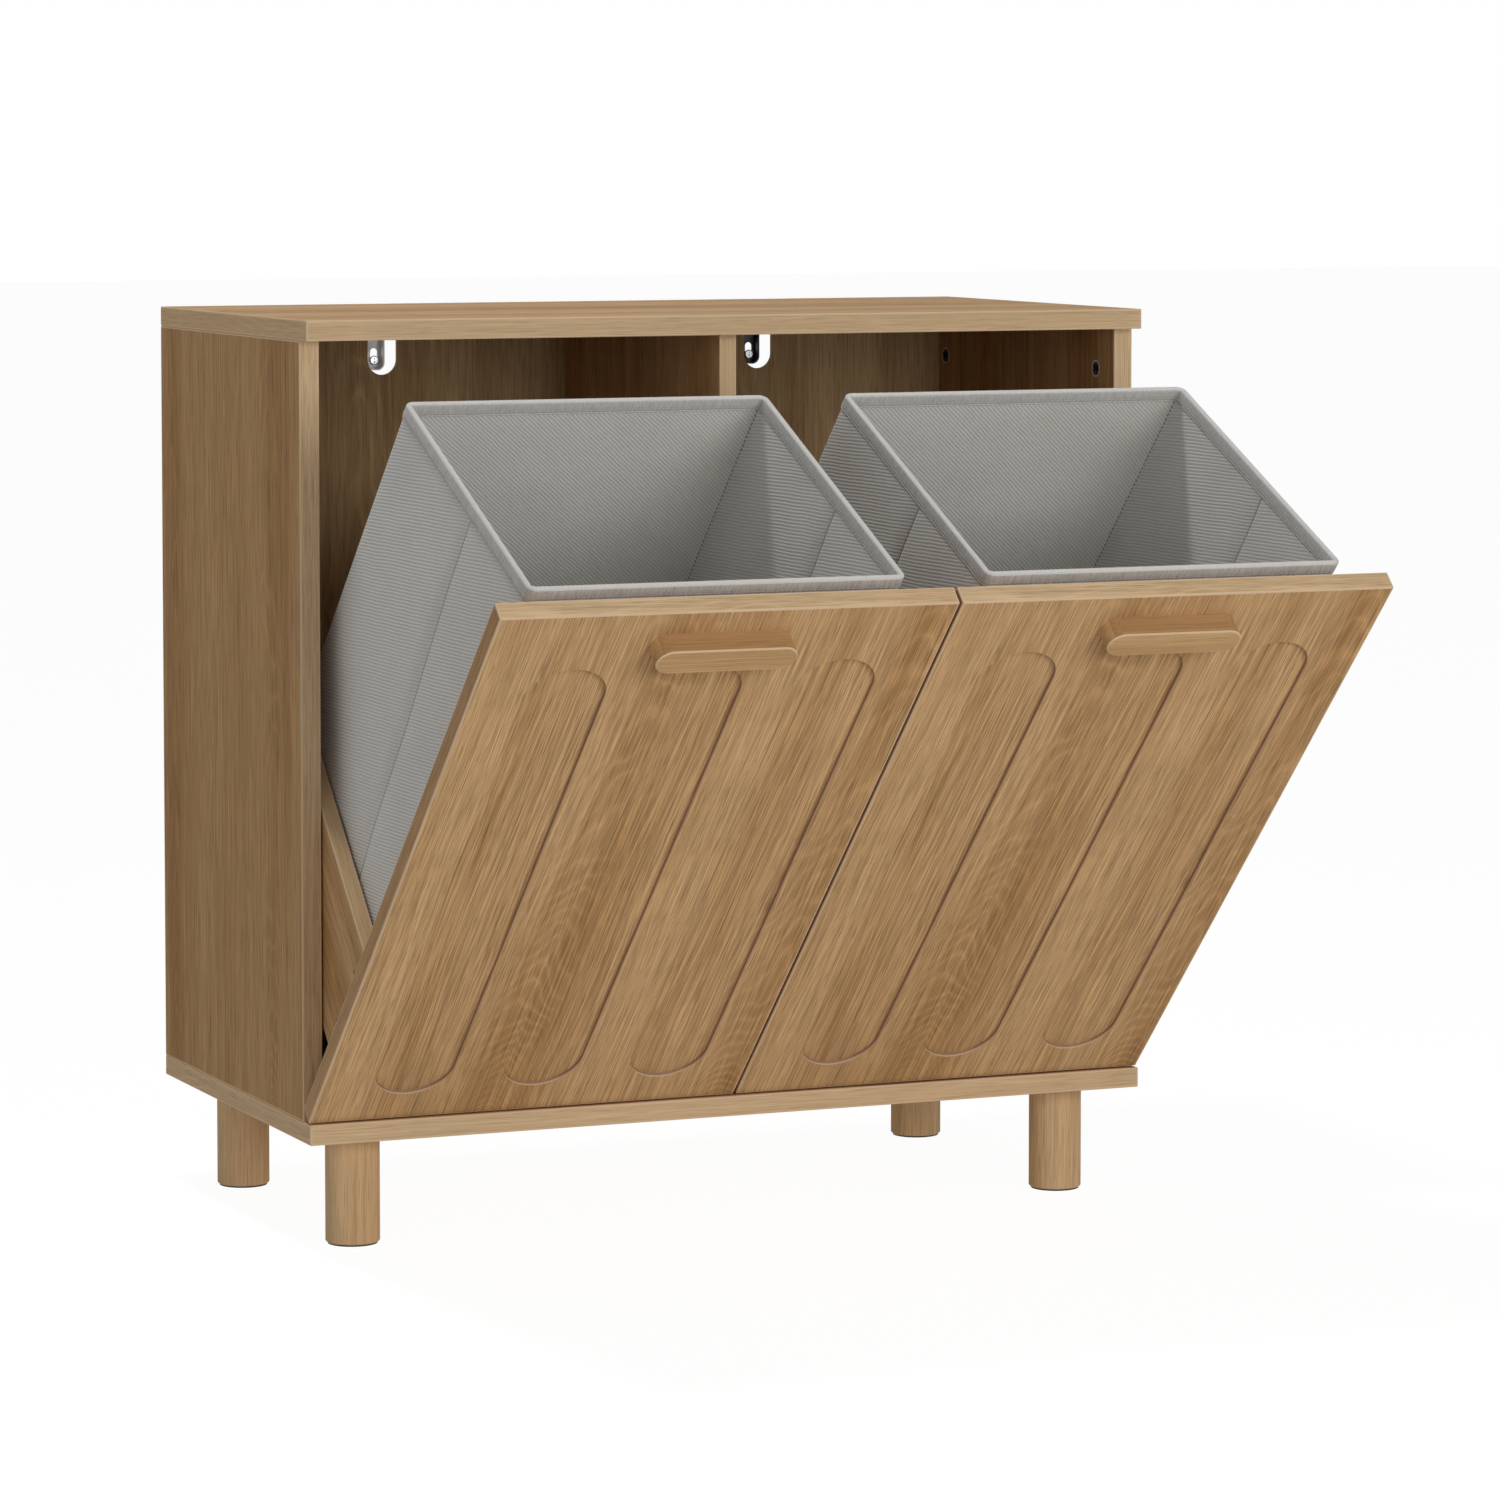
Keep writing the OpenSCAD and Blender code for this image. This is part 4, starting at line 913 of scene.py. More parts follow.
class Basket:
    """The measures of one basket and the outline of its wall at each height."""

    WALL_PARTS = 9
    CORNER_PARTS = 5
    FOLD_GAPS = (0.7 * MM, 1.6 * MM, 3 * MM)
    # Depth and height of the fold seam's two ends, from the door's lower front edge
    FOLD_TOP = (164 * MM, 611 * MM)
    FOLD_LOW = (135 * MM, 221 * MM)
    FOLD_REACH = 2.6 * MM
    # Strength of a wave, its size along each axis and the sign of the seed's shift
    WAVES = ((1.0, (0.11, 0.11, 0.13), 1), (0.4, (0.05, 0.05, 0.07), -1))
    # How far from the rim, the tray and a corner the wall starts to swell fully
    CALM_HEIGHT = 60 * MM
    CALM_CORNER = 50 * MM
    TRAY_SQUEEZE = 0.5
    SEED_START = 1.0
    SEED_STEP = 7.0

    def __init__(self, side, shape):
        self.side = side
        self.shape = shape
        self.low, self.high, self.front_top, self.back_top = basket_sizes(side)
        self.door_low, _ = unit_box(side, "door")
        _, tray_high = unit_box(side, "tray_outer_side")
        self.tray_top = tray_high.z
        self.seed = self.SEED_START + self.SEED_STEP * SIDES.index(side)

    def rim_height(self, y):
        """Height of the slanting rim at a depth."""
        share = (y - self.low.y) / (self.high.y - self.low.y)
        return self.front_top + (self.back_top - self.front_top) * share

    def fold_slope(self):
        """How far the fold seam goes back for each metre that it climbs."""
        (top_y, top_z), (low_y, low_z) = self.FOLD_TOP, self.FOLD_LOW
        return (top_y - low_y) / (top_z - low_z)

    def fold_depth(self, z):
        """Depth of the fold seam of a side wall at a height."""
        low_y, low_z = self.FOLD_LOW
        height = z - self.door_low.z
        return self.door_low.y + low_y + (height - low_z) * self.fold_slope()

    def seam_lines(self):
        """The straight lines of the rim and of the fold seams, for the shader."""
        rim_slope = (self.back_top - self.front_top) / (self.high.y - self.low.y)
        return {
            "rim_start": self.front_top - self.low.y * rim_slope,
            "rim_slope": rim_slope,
            "fold_start": self.fold_depth(0),
            "fold_slope": self.fold_slope(),
        }

    def wall_depths(self, z):
        """Depths of the columns of a side wall, crowded at its fold seam."""
        fold = self.fold_depth(z)
        front = self.low.y + self.shape.corner
        back = self.high.y - self.shape.corner
        near = [fold - gap for gap in reversed(self.FOLD_GAPS)] + [fold]
        far = [fold + gap for gap in self.FOLD_GAPS]
        parts = range(self.WALL_PARTS)
        before = [front + (near[0] - front) * i / self.WALL_PARTS for i in parts]
        after = [far[-1] + (back - far[-1]) * (i + 1) / self.WALL_PARTS for i in parts]
        return before + near + far + after

    def corner_points(self, x, y, start):
        """Points of one upright corner, from its start angle, a quarter turn on."""
        radius = self.shape.corner
        for i in range(1, self.CORNER_PARTS):
            angle = start + math.pi / 2 * i / self.CORNER_PARTS
            normal = Vector((math.cos(angle), math.sin(angle), 0))
            yield Vector((x, y, 0)) + normal * radius, normal

    def outline(self, share):
        """Points and outward normals round the wall at a share of its height."""
        mid_z = self.low.z + (self.rim_height((self.low.y + self.high.y) / 2) - self.low.z) * share
        depths = self.wall_depths(mid_z)
        radius = self.shape.corner
        left, right = self.low.x, self.high.x
        widths = [left + radius + (right - left - 2 * radius) * i / (2 * self.WALL_PARTS)
                  for i in range(2 * self.WALL_PARTS + 1)]
        front, back = self.low.y, self.high.y
        loop = [(Vector((right, y, 0)), Vector((1, 0, 0))) for y in depths]
        loop += self.corner_points(right - radius, back - radius, 0)
        loop += [(Vector((x, back, 0)), Vector((0, 1, 0))) for x in reversed(widths)]
        loop += self.corner_points(left + radius, back - radius, math.pi / 2)
        loop += [(Vector((left, y, 0)), Vector((-1, 0, 0))) for y in reversed(depths)]
        loop += self.corner_points(left + radius, front + radius, math.pi)
        loop += [(Vector((x, front, 0)), Vector((0, -1, 0))) for x in widths]
        loop += self.corner_points(right - radius, front + radius, math.pi * 1.5)
        for point, _ in loop:
            point.z = self.low.z + (self.rim_height(point.y) - self.low.z) * share
        return loop

    def swell(self, point, normal):
        """How far the wall swells outward at a point."""
        wave = 0
        for strength, size, sign in self.WAVES:
            x, y, z = (part / reach for part, reach in zip(point, size))
            wave += strength * noise.noise(Vector((x, y, z + sign * self.seed)))
        clear = smooth(point.z, self.tray_top, self.tray_top + self.CALM_HEIGHT)
        below_rim = smooth(self.rim_height(point.y) - point.z, 0, self.CALM_HEIGHT)
        axis = 0 if abs(normal.y) > 0.5 else 1
        from_corner = min(point[axis] - self.low[axis], self.high[axis] - point[axis])
        free = smooth(from_corner, 0, self.CALM_CORNER)
        squeeze = self.TRAY_SQUEEZE * (1 - clear)
        return self.shape.wave * free * (clear * below_rim * wave - squeeze)

    def pinch(self, point, normal):
        """How far a fold seam is sewn into the wall at a point, from each face."""
        if abs(normal.x) < 0.5:
            return 0
        gap = abs(point.y - self.fold_depth(point.z))
        return self.shape.pinch * (1 - smooth(gap, 0, self.FOLD_REACH))

    def surface(self, share, inner, sink=0.0):
        """Points of the outer or inner face at a share of the height, drawn in by sink."""
        made = []
        for point, normal in self.outline(share):
            offset = self.swell(point, normal) - sink
            if inner:
                offset += self.pinch(point, normal) - self.shape.wall
            else:
                offset -= self.pinch(point, normal)
            made.append(point + normal * offset)
        return made

    def wall_middle(self):
        """The middle line of the wall at the rim, with outward normals."""
        half = self.shape.wall / 2
        return [(point + normal * (self.swell(point, normal) - half), normal)
                for point, normal in self.outline(1.0)]


def mesh_object(name, side, mesh_maker, material):
    """A piece built in the shut door's frame, set in the open pose and riding on its unit."""
    work = bmesh.new()
    mesh_maker(work)
    bmesh.ops.recalc_face_normals(work, faces=work.faces)
    work.transform(unit_frame(side))
    mesh = bpy.data.meshes.new(name)
    work.to_mesh(mesh)
    work.free()
    mesh.shade_smooth()
    mesh.materials.append(material)
    piece = bpy.data.objects.new(name, mesh)
    bpy.context.scene.collection.objects.link(piece)
    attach(piece, f"{side}_unit")
    return piece


def add_ring(work, points):
    """A ring of vertices."""
    return [work.verts.new(point) for point in points]


def bridge(work, lower, upper):
    """Faces between two closed rings of vertices."""
    count = len(lower)
    for i in range(count):
        j = (i + 1) % count
        work.faces.new((lower[i], lower[j], upper[j], upper[i]))


def loft(work, rings):
    """A closed body through rings of vertices, with a face at each end."""
    for lower, upper in zip(rings, rings[1:]):
        bridge(work, lower, upper)
    work.faces.new(rings[0])
    work.faces.new(rings[-1])


def sweep(work, loop, profile):
    """Sweeps a closed profile of outward and upward steps along a closed loop."""
    rings = [add_ring(work, [point + normal * out + Vector((0, 0, up)) for out, up in profile])
             for point, normal in loop]
    for ring, following in zip(rings, rings[1:] + rings[:1]):
        bridge(work, ring, following)


WALL_LEVELS = 40
# Rise from the floor and how far the wall is drawn in, for the rounded foot of a basket
FOOT_STEPS = ((0.0, 2.6 * MM), (0.7 * MM, 0.9 * MM), (2.4 * MM, 0.0))


def shell_maker(basket):
    """The padded wall of a basket with its closed foot."""
    floor = basket.low.z + basket.shape.wall

    def make(work):
        height = basket.front_top - basket.low.z
        levels = [i / WALL_LEVELS for i in range(1, WALL_LEVELS + 1)]
        outer = [basket.surface(rise / height, False, sink) for rise, sink in FOOT_STEPS]
        outer += [basket.surface(level, False) for level in levels]
        inner = [basket.surface(level, True) for level in reversed(levels)]
        last = basket.surface(0.0, True)
        for point in last:
            point.z = floor
        loft(work, [add_ring(work, points) for points in outer + inner + [last]])

    return make


BINDING_BITE = 0.2 * MM
BINDING_CURL = (0.25 * MM, 0.5 * MM)
FOLD_PARTS = 8
FOLD_ROUNDNESS = 0.75
FOLD_DROP = 0.8 * MM


def binding_maker(basket):
    """The folded tape over the rim."""
    shape = basket.shape
    half = shape.wall / 2 + shape.tape
    inside = shape.wall / 2 - BINDING_BITE
    low = -shape.binding
    curl_out, curl_up = BINDING_CURL

    def make(work):
        angles = [math.pi * i / FOLD_PARTS for i in range(FOLD_PARTS + 1)]
        rise = half * FOLD_ROUNDNESS
        fold = [(half * math.cos(angle), rise * math.sin(angle) - FOLD_DROP) for angle in angles]
        outer_leg = [(inside, low), (half - curl_out, low), (half, low + curl_up), (half, low / 2)]
        inner_leg = [(-out, up) for out, up in reversed(outer_leg)]
        sweep(work, basket.wall_middle(), outer_leg + fold + inner_leg)

    return make


PIPING_SIDES = 8
PIPING_GAP = 0.4 * MM
PIPING_STAND = 0.35


def piping_maker(basket):
    """The thin piping under the binding, outside and inside."""
    shape = basket.shape
    radius = shape.piping / 2
    down = -shape.binding - radius - PIPING_GAP
    out = shape.wall / 2 + radius * PIPING_STAND

    def make(work):
        angles = [math.tau * i / PIPING_SIDES for i in range(PIPING_SIDES)]
        for sign in (1, -1):
            profile = [(sign * out + radius * math.cos(angle), down + radius * math.sin(angle))
                       for angle in angles]
            sweep(work, basket.wall_middle(), profile)

    return make


STITCH_SIDES = 6
# Place along a stitch, from its middle, and width there
STITCH_RINGS = ((-0.5, 0.35), (-0.3, 1.0), (0.3, 1.0), (0.5, 0.35))
NO_LENGTH = 1e-9


def stitch_row(work, line, length, step, radius):
    """Short stitches along a line of points, each a small bar with pointed ends."""
    travelled = 0.0
    due = step / 2
    angles = [math.tau * i / STITCH_SIDES for i in range(STITCH_SIDES)]
    for start, end in zip(line, line[1:]):
        reach = (end - start).length
        if reach < NO_LENGTH:
            continue
        along = (end - start) / reach
        side = along.orthogonal().normalized()
        other = along.cross(side)
        while due <= travelled + reach:
            middle = start + along * (due - travelled)
            rings = []
            for place, width in STITCH_RINGS:
                centre = middle + along * (length * place)
                rings.append(add_ring(work, [
                    centre + (side * math.cos(angle) + other * math.sin(angle)) * radius * width
                    for angle in angles]))
            loft(work, rings)
            due += step
        travelled += reach


SEAM_START = 10 * MM
SEAM_GAP = 1 * MM
FOLD_LINE_PARTS = 60
CORNER_LINE_PARTS = 40
THREAD_LIFT = 0.2
CORNER_GAP = 1.2 * MM
RIM_STITCH_HEIGHT = 2.2 * MM


def fold_line(basket, sign, inner):
    """The line of a fold seam on one face of a side wall, from the tray up to the binding."""
    shape = basket.shape
    edge = basket.high.x if sign > 0 else basket.low.x
    normal = Vector((sign, 0, 0))
    lift = shape.thread * (-THREAD_LIFT if inner else THREAD_LIFT)
    start = basket.low.z + SEAM_START
    rim = basket.rim_height(basket.fold_depth(basket.front_top))
    top = rim - shape.binding - shape.piping - SEAM_GAP
    line = []
    for i in range(FOLD_LINE_PARTS + 1):
        z = start + (top - start) * i / FOLD_LINE_PARTS
        point = Vector((edge, basket.fold_depth(z), z))
        offset = basket.swell(point, normal)
        offset += shape.pinch - shape.wall if inner else -shape.pinch
        line.append(point + normal * (offset + lift))
    return line


def corner_line(basket, x_sign, y_sign):
    """The line of the seam in an upright corner, inside."""
    shape = basket.shape
    inset = shape.wall + CORNER_GAP
    x = basket.high.x - inset if x_sign > 0 else basket.low.x + inset
    y = basket.high.y - inset if y_sign > 0 else basket.low.y + inset
    top = basket.rim_height(y) - shape.binding - shape.piping
    start = basket.low.z + SEAM_START
    return [Vector((x, y, start + (top - start) * i / CORNER_LINE_PARTS))
            for i in range(CORNER_LINE_PARTS + 1)]


def rim_line(basket, inner):
    """The line of stitches through the binding, just above its lower edge."""
    shape = basket.shape
    out = shape.wall / 2 + shape.tape
    sign = -1 if inner else 1
    up = Vector((0, 0, RIM_STITCH_HEIGHT - shape.binding))
    line = [point + normal * out * sign + up for point, normal in basket.wall_middle()]
    return line + line[:1]


def seam_maker(basket):
    """Every row of pale stitches on a basket."""
    shape = basket.shape
    stitch = (shape.stitch, shape.stitch_step, shape.thread / 2)

    def make(work):
        for inner in (False, True):
            stitch_row(work, rim_line(basket, inner), *stitch)
            for sign in (-1, 1):
                stitch_row(work, fold_line(basket, sign, inner), *stitch)

    return make


CORNER_STITCH = 1.2
CORNER_STEP = 1.3
CORNER_THREAD = 0.9


def corner_seam_maker(basket):
    """The dark rows of stitches in the inner corners."""
    shape = basket.shape
    stitch = (shape.stitch * CORNER_STITCH, shape.stitch_step * CORNER_STEP,
              shape.thread * CORNER_THREAD)

    def make(work):
        for x_sign in (-1, 1):
            for y_sign in (-1, 1):
                stitch_row(work, corner_line(basket, x_sign, y_sign), *stitch)

    return make


# Share of the board's height and how far its edge is drawn in
BOARD_STEPS = ((0.0, 1.0 * MM), (0.25, 0.2 * MM), (0.5, 0.0), (0.75, 0.2 * MM), (1.0, 1.2 * MM))
BOARD_CORNER_PARTS = 5
CROWN_RINGS = 10
CROWN_RISE = 0.6 * MM


def board_maker(basket):
    """The fabric covered board on the floor of a basket, a little crowned with soft edges."""
    low, high = unit_box(basket.side, "basket_board")
    radius = basket.shape.corner
    rise = high.z - low.z

    def outline(inset, z):
        corners = ((high.x, high.y, 0), (low.x, high.y, 1), (low.x, low.y, 2), (high.x, low.y, 3))
        reach = radius - inset
        points = []
        for x, y, quarter in corners:
            centre_x = x - math.copysign(radius, x)
            centre_y = y - radius if quarter < 2 else y + radius
            for i in range(BOARD_CORNER_PARTS + 1):
                angle = math.pi / 2 * (quarter + i / BOARD_CORNER_PARTS)
                points.append(Vector((centre_x + reach * math.cos(angle),
                                      centre_y + reach * math.sin(angle), z)))
        return points

    def make(work):
        rings = [add_ring(work, outline(inset, low.z + rise * share)) for share, inset in BOARD_STEPS]
        middle = (low + high) / 2
        _, edge_inset = BOARD_STEPS[-1]
        top = outline(edge_inset, high.z)
        for i in range(1, CROWN_RINGS):
            share = 1 - i / CROWN_RINGS
            z = high.z + CROWN_RISE * (1 - share * share)
            rings.append(add_ring(work, [
                Vector((middle.x + (point.x - middle.x) * share,
                        middle.y + (point.y - middle.y) * share, z)) for point in top]))
        loft(work, rings)

    return make


# Cloth materials

CLOTH_SHEEN = (0.15, 0.5)
CLOTH_GLOSS = 0.2
CLOTH_BUMP = (0.6, 0.35 * MM)
BOARD_LIGHT = 0.92
CREASE_SHARE = 0.6
# Painted shade lines above and below the piping, in millimetres below the rim
PIPING_SHADOWS = ((11.0, 12.6), (13.9, 15.6))
PIPING_SHADOW_SHARE = 0.5

TAPE_WEAVE = Speckle((0.8, 0.8, 0.8), 2)
TAPE_PUCKER = Speckle((1.4, 1.4, 10), 2)
PUCKER_HEIGHT = 1.6
PUCKER_STEP = (0.75, 1.75)
TAPE_ROUGHNESS = 0.76
WEAVE_ROUGHNESS = 0.1
TAPE_SHEEN = 0.2
TAPE_GLOSS = 0.25
TAPE_BUMP = (0.5, 0.4 * MM)
# Depth below the rim and strength of the painted highlight along the binding's fold
RIM_HIGHLIGHT_DEPTH = 0.9
RIM_HIGHLIGHT_SHARE = 0.6

THREAD_TWIST = Speckle((0.3, 0.3, 0.3), 1)
THREAD_SHADE = 0.7
THREAD_ROUGHNESS = 0.6
TWIST_ROUGHNESS = 0.2
THREAD_BUMP = (0.4, 0.1 * MM)


def between(wiring, source, low, high):
    """1 where the source lies between two values."""
    return wiring.math("COMPARE", source, (low + high) / 2, (high - low) / 2)


def cloth_material(name, look, basket, light=1.0, seams=True):
    """Twill for the walls of one basket, with painted shade and highlight along its fold seams and
    painted shade beside the piping.
    """
    material, wiring, shader = new_material(name)
    place, normal = own_place(wiring, basket.side)
    lit, shaded = (tuple(min(1, part * light) for part in tone) for tone in (look.light, look.shade))
    weave = wiring.group("Twill cloth", place=place, normal=normal, rib=look.rib, light=rgba(lit),
                         shade=rgba(shaded))
    colour = weave["Color"]
    if seams:
        lines = wiring.group("Basket seams", place=place, normal=normal, **basket.seam_lines())
        # Painted shade in thin lines above and below the piping
        above, below = (between(wiring, lines["Rim Depth"], *line) for line in PIPING_SHADOWS)
        beside = wiring.math("MULTIPLY", wiring.math("MAXIMUM", above, below), PIPING_SHADOW_SHARE)
        # Painted shade along one line of each fold seam, and a painted highlight along the other
        painted_shade = wiring.math("MULTIPLY", lines["Crease Shade"], CREASE_SHARE)
        colour = wiring.blend(wiring.math("MAXIMUM", painted_shade, beside), colour, rgba(look.painted_shade))
        raised = wiring.math("MULTIPLY", lines["Crease Highlight"], CREASE_SHARE)
        colour = wiring.blend(raised, colour, rgba(look.light))
    wiring.feed(shader.inputs["Base Color"], colour)
    wiring.feed(shader.inputs["Roughness"], weave["Roughness"])
    sheen, sheen_roughness = CLOTH_SHEEN
    shader.inputs["Sheen Weight"].default_value = sheen
    shader.inputs["Sheen Roughness"].default_value = sheen_roughness
    shader.inputs["Specular IOR Level"].default_value = CLOTH_GLOSS
    put_bump(wiring, shader, weave["Height"], *CLOTH_BUMP)
    return material


def tape_material(name, look, basket):
    """Plain woven tape of the binding and piping, puckered across, with a painted highlight along its
    fold.
    """
    material, wiring, shader = new_material(name)
    place, normal = own_place(wiring, basket.side)
    scaled = wiring.millimetres(place)
    weave = wiring.speckle(scaled, *TAPE_WEAVE)
    pucker = wiring.speckle(scaled, *TAPE_PUCKER)
    height = wiring.math("MULTIPLY_ADD", pucker, PUCKER_HEIGHT, weave)
    share = wiring.step(height, *PUCKER_STEP)
    colour = wiring.blend(share, rgba(look.tape_shade), rgba(look.tape))
    lines = wiring.group("Basket seams", place=place, normal=normal, **basket.seam_lines())
    # A painted highlight along the top of the binding's fold
    rim_highlight = wiring.math("LESS_THAN", lines["Rim Depth"], RIM_HIGHLIGHT_DEPTH)
    colour = wiring.blend(wiring.math("MULTIPLY", rim_highlight, RIM_HIGHLIGHT_SHARE), colour, rgba(look.light))
    wiring.feed(shader.inputs["Base Color"], colour)
    roughness = wiring.math("MULTIPLY_ADD", weave, WEAVE_ROUGHNESS, TAPE_ROUGHNESS)
    wiring.feed(shader.inputs["Roughness"], roughness)
    shader.inputs["Sheen Weight"].default_value = TAPE_SHEEN
    shader.inputs["Specular IOR Level"].default_value = TAPE_GLOSS
    put_bump(wiring, shader, height, *TAPE_BUMP)
    return material


def thread_material(name, colour, side):
    """Twisted sewing thread."""
    material, wiring, shader = new_material(name)
    place, _ = own_place(wiring, side)
    twist = wiring.speckle(wiring.millimetres(place), *THREAD_TWIST)
    darker = tuple(THREAD_SHADE * part for part in colour)
    wiring.feed(shader.inputs["Base Color"], wiring.blend(twist, rgba(darker), rgba(colour)))
    roughness = wiring.math("MULTIPLY_ADD", twist, TWIST_ROUGHNESS, THREAD_ROUGHNESS)
    wiring.feed(shader.inputs["Roughness"], roughness)
    put_bump(wiring, shader, twist, *THREAD_BUMP)
    return material


# Operators


class CABINET_OT_stage(bpy.types.Operator):
    """Sets the world light, the floor, the lamps and the camera"""

    bl_idname = "cabinet.stage"
    bl_label = "Stage"

    CAMERA_PLACE = (-2.0047, -4.9557, 0.9809)
    CAMERA_TURN = 23.0273
    CAMERA_DIP = 3.943
    CAMERA_SHIFT = -0.15
    SENSOR = 36
    FLOOR_SIZE = 60
    FLOOR_SHADOW = 0.12
    FLOOR_GLOW = 0.95
    # Height share over which the light from the front and left fades out upwards
    LOW_LIGHT = (0.2, 0.5)
    KEY_PLACE = (0.8, -4.5, 1.3)
    KEY_SIZE = 1.8
    HIGH_PLACE = (-0.75, 0.12, 3.6)
    HIGH_SIZE = 0.35
    LAMP_AIM = (0, -0.2, 0.45)

    def execute(self, context):
        look = context.scene.cabinet_studio
        context.scene.view_settings.view_transform = "Standard"
        self.make_world(context, look)
        self.make_floor(context, look)
        self.make_lamp(context, "key", look.key, self.KEY_PLACE, self.KEY_SIZE)
        self.make_lamp(context, "high", look.high, self.HIGH_PLACE, self.HIGH_SIZE)
        self.make_camera(context, look)
        return {"FINISHED"}

    @staticmethod
    def seen_directly(wiring):
        """1 where the eye, a reflection or glass sees the backdrop, and 0 where it only lights."""
        path = wiring.add("ShaderNodeLightPath").outputs
        mirrored = wiring.math("MAXIMUM", path["Is Glossy Ray"], path["Is Transmission Ray"])
        return wiring.math("MAXIMUM", path["Is Camera Ray"], mirrored)

    def make_world(self, context, look):
        """Light from all round, stronger from above, the front and the left, and white where seen."""
        world = bpy.data.worlds.new("studio")
        world.use_nodes = True
        context.scene.world = world
        wiring = Wiring(world.node_tree)
        background = world.node_tree.nodes["Background"]
        background.inputs["Color"].default_value = (1, 1, 1, 1)
        right, behind, above = wiring.split(wiring.add("ShaderNodeTexCoord").outputs["Generated"])
        near_level = wiring.step(above, *self.LOW_LIGHT, 1.0, 0.0)
        front = wiring.math("MINIMUM", behind, 0.0)
        left = wiring.math("MINIMUM", right, 0.0)
        glow = wiring.weigh(look.world, (
            (wiring.product(above, above), look.zenith),
            (wiring.product(front, front, near_level), look.front),
            (wiring.product(left, left, near_level), look.left)))
        seen = self.seen_directly(wiring)
        wiring.feed(background.inputs["Strength"], wiring.math("MAXIMUM", seen, glow))

    @staticmethod
    def lit_and_glowing(wiring, colour, strength):
        """A matt surface that also glows evenly."""
        matt = wiring.add("ShaderNodeBsdfDiffuse")
        matt.inputs["Color"].default_value = colour
        glow = wiring.add("ShaderNodeEmission")
        glow.inputs["Strength"].default_value = strength
        both = wiring.add("ShaderNodeAddShader")
        wiring.feed(both.inputs[0], matt.outputs[0])
        wiring.feed(both.inputs[1], glow.outputs[0])
        return both.outputs[0]

    def make_floor(self, context, look):
        """A white floor that keeps a faint shadow."""
        mesh = bpy.data.meshes.new("floor")
        half = self.FLOOR_SIZE / 2
        corners = [(-half, -half, 0), (half, -half, 0), (half, half, 0), (-half, half, 0)]
        mesh.from_pydata(corners, [], [(0, 1, 2, 3)])
        floor = bpy.data.objects.new("floor", mesh)
        context.scene.collection.objects.link(floor)
        material = bpy.data.materials.new("floor")
        material.use_nodes = True
        tree = material.node_tree
        tree.nodes.clear()
        wiring = Wiring(tree)
        lighting = self.lit_and_glowing(wiring, rgba(look.floor), look.floor_light)
        shown = self.lit_and_glowing(wiring, rgba((self.FLOOR_SHADOW,) * 3), self.FLOOR_GLOW)
        choice = wiring.add("ShaderNodeMixShader")
        wiring.feed(choice.inputs[0], self.seen_directly(wiring))
        wiring.feed(choice.inputs[1], lighting)
        wiring.feed(choice.inputs[2], shown)
        output = wiring.add("ShaderNodeOutputMaterial")
        wiring.feed(output.inputs["Surface"], choice.outputs[0])
        mesh.materials.append(material)

    def make_lamp(self, context, name, power, place, size):
        """A soft square lamp that looks at the cabinet."""
        lamp = bpy.data.lights.new(name, "AREA")
        lamp.size = size
        lamp.energy = power
        holder = bpy.data.objects.new(name, lamp)
        holder.location = place
        aim = Vector(self.LAMP_AIM) - Vector(place)
        holder.rotation_euler = aim.to_track_quat("-Z", "Y").to_euler()
        context.scene.collection.objects.link(holder)

    def make_camera(self, context, look):
        """The camera of the front view."""
        data = bpy.data.cameras.new("camera")
        data.sensor_width = self.SENSOR
        data.lens = look.lens
        data.shift_y = self.CAMERA_SHIFT
        camera = bpy.data.objects.new("camera", data)
        camera.location = self.CAMERA_PLACE
        camera.rotation_euler = (math.radians(90 - self.CAMERA_DIP), 0, -math.radians(self.CAMERA_TURN))
        context.scene.collection.objects.link(camera)
        context.scene.camera = camera


class CABINET_OT_carcass(bpy.types.Operator):
    """Finishes the top, bottom, sides, divider and back in oak"""

    bl_idname = "cabinet.carcass"
    bl_label = "Carcass"

    def execute(self, context):
        look = context.scene.cabinet_oak
        for node, board in CARCASS.items():
            dress(node, oak_material(f"oak_{node}", look, board, *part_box(node)))
        return {"FINISHED"}


class CABINET_OT_feet(bpy.types.Operator):
    """Finishes the four turned feet and their pads"""

    bl_idname = "cabinet.feet"
    bl_label = "Feet"

    def execute(self, context):
        look = context.scene.cabinet_oak
        for number, node in enumerate(FEET):
            board = FOOT._replace(seed=FOOT.seed + number)
            dress(node, turned_material(f"oak_{node}", look, board, *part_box(node)))
        dress("foot_pads", finish_material("pad", PAD))
        return {"FINISHED"}


class CABINET_OT_doors(bpy.types.Operator):
    """Finishes both doors in oak with routed recesses"""

    bl_idname = "cabinet.doors"
    bl_label = "Doors"

    def execute(self, context):
        look = context.scene.cabinet_oak
        for side in SIDES:
            low, high = unit_box(side, "door")
            material = oak_material(f"oak_{side}_door", look, DOOR, low, high, side, routed=True)
            dress(f"{side}_door", material)
        return {"FINISHED"}


class CABINET_OT_handles(bpy.types.Operator):
    """Finishes both handles in oak"""

    bl_idname = "cabinet.handles"
    bl_label = "Handles"

    def execute(self, context):
        look = context.scene.cabinet_oak
        for number, side in enumerate(SIDES):
            board = HANDLE._replace(seed=HANDLE.seed + number)
            low, high = unit_box(side, "handle")
            dress(f"{side}_handle", handle_material(f"oak_{side}_handle", look, board, low, high, side))
        return {"FINISHED"}


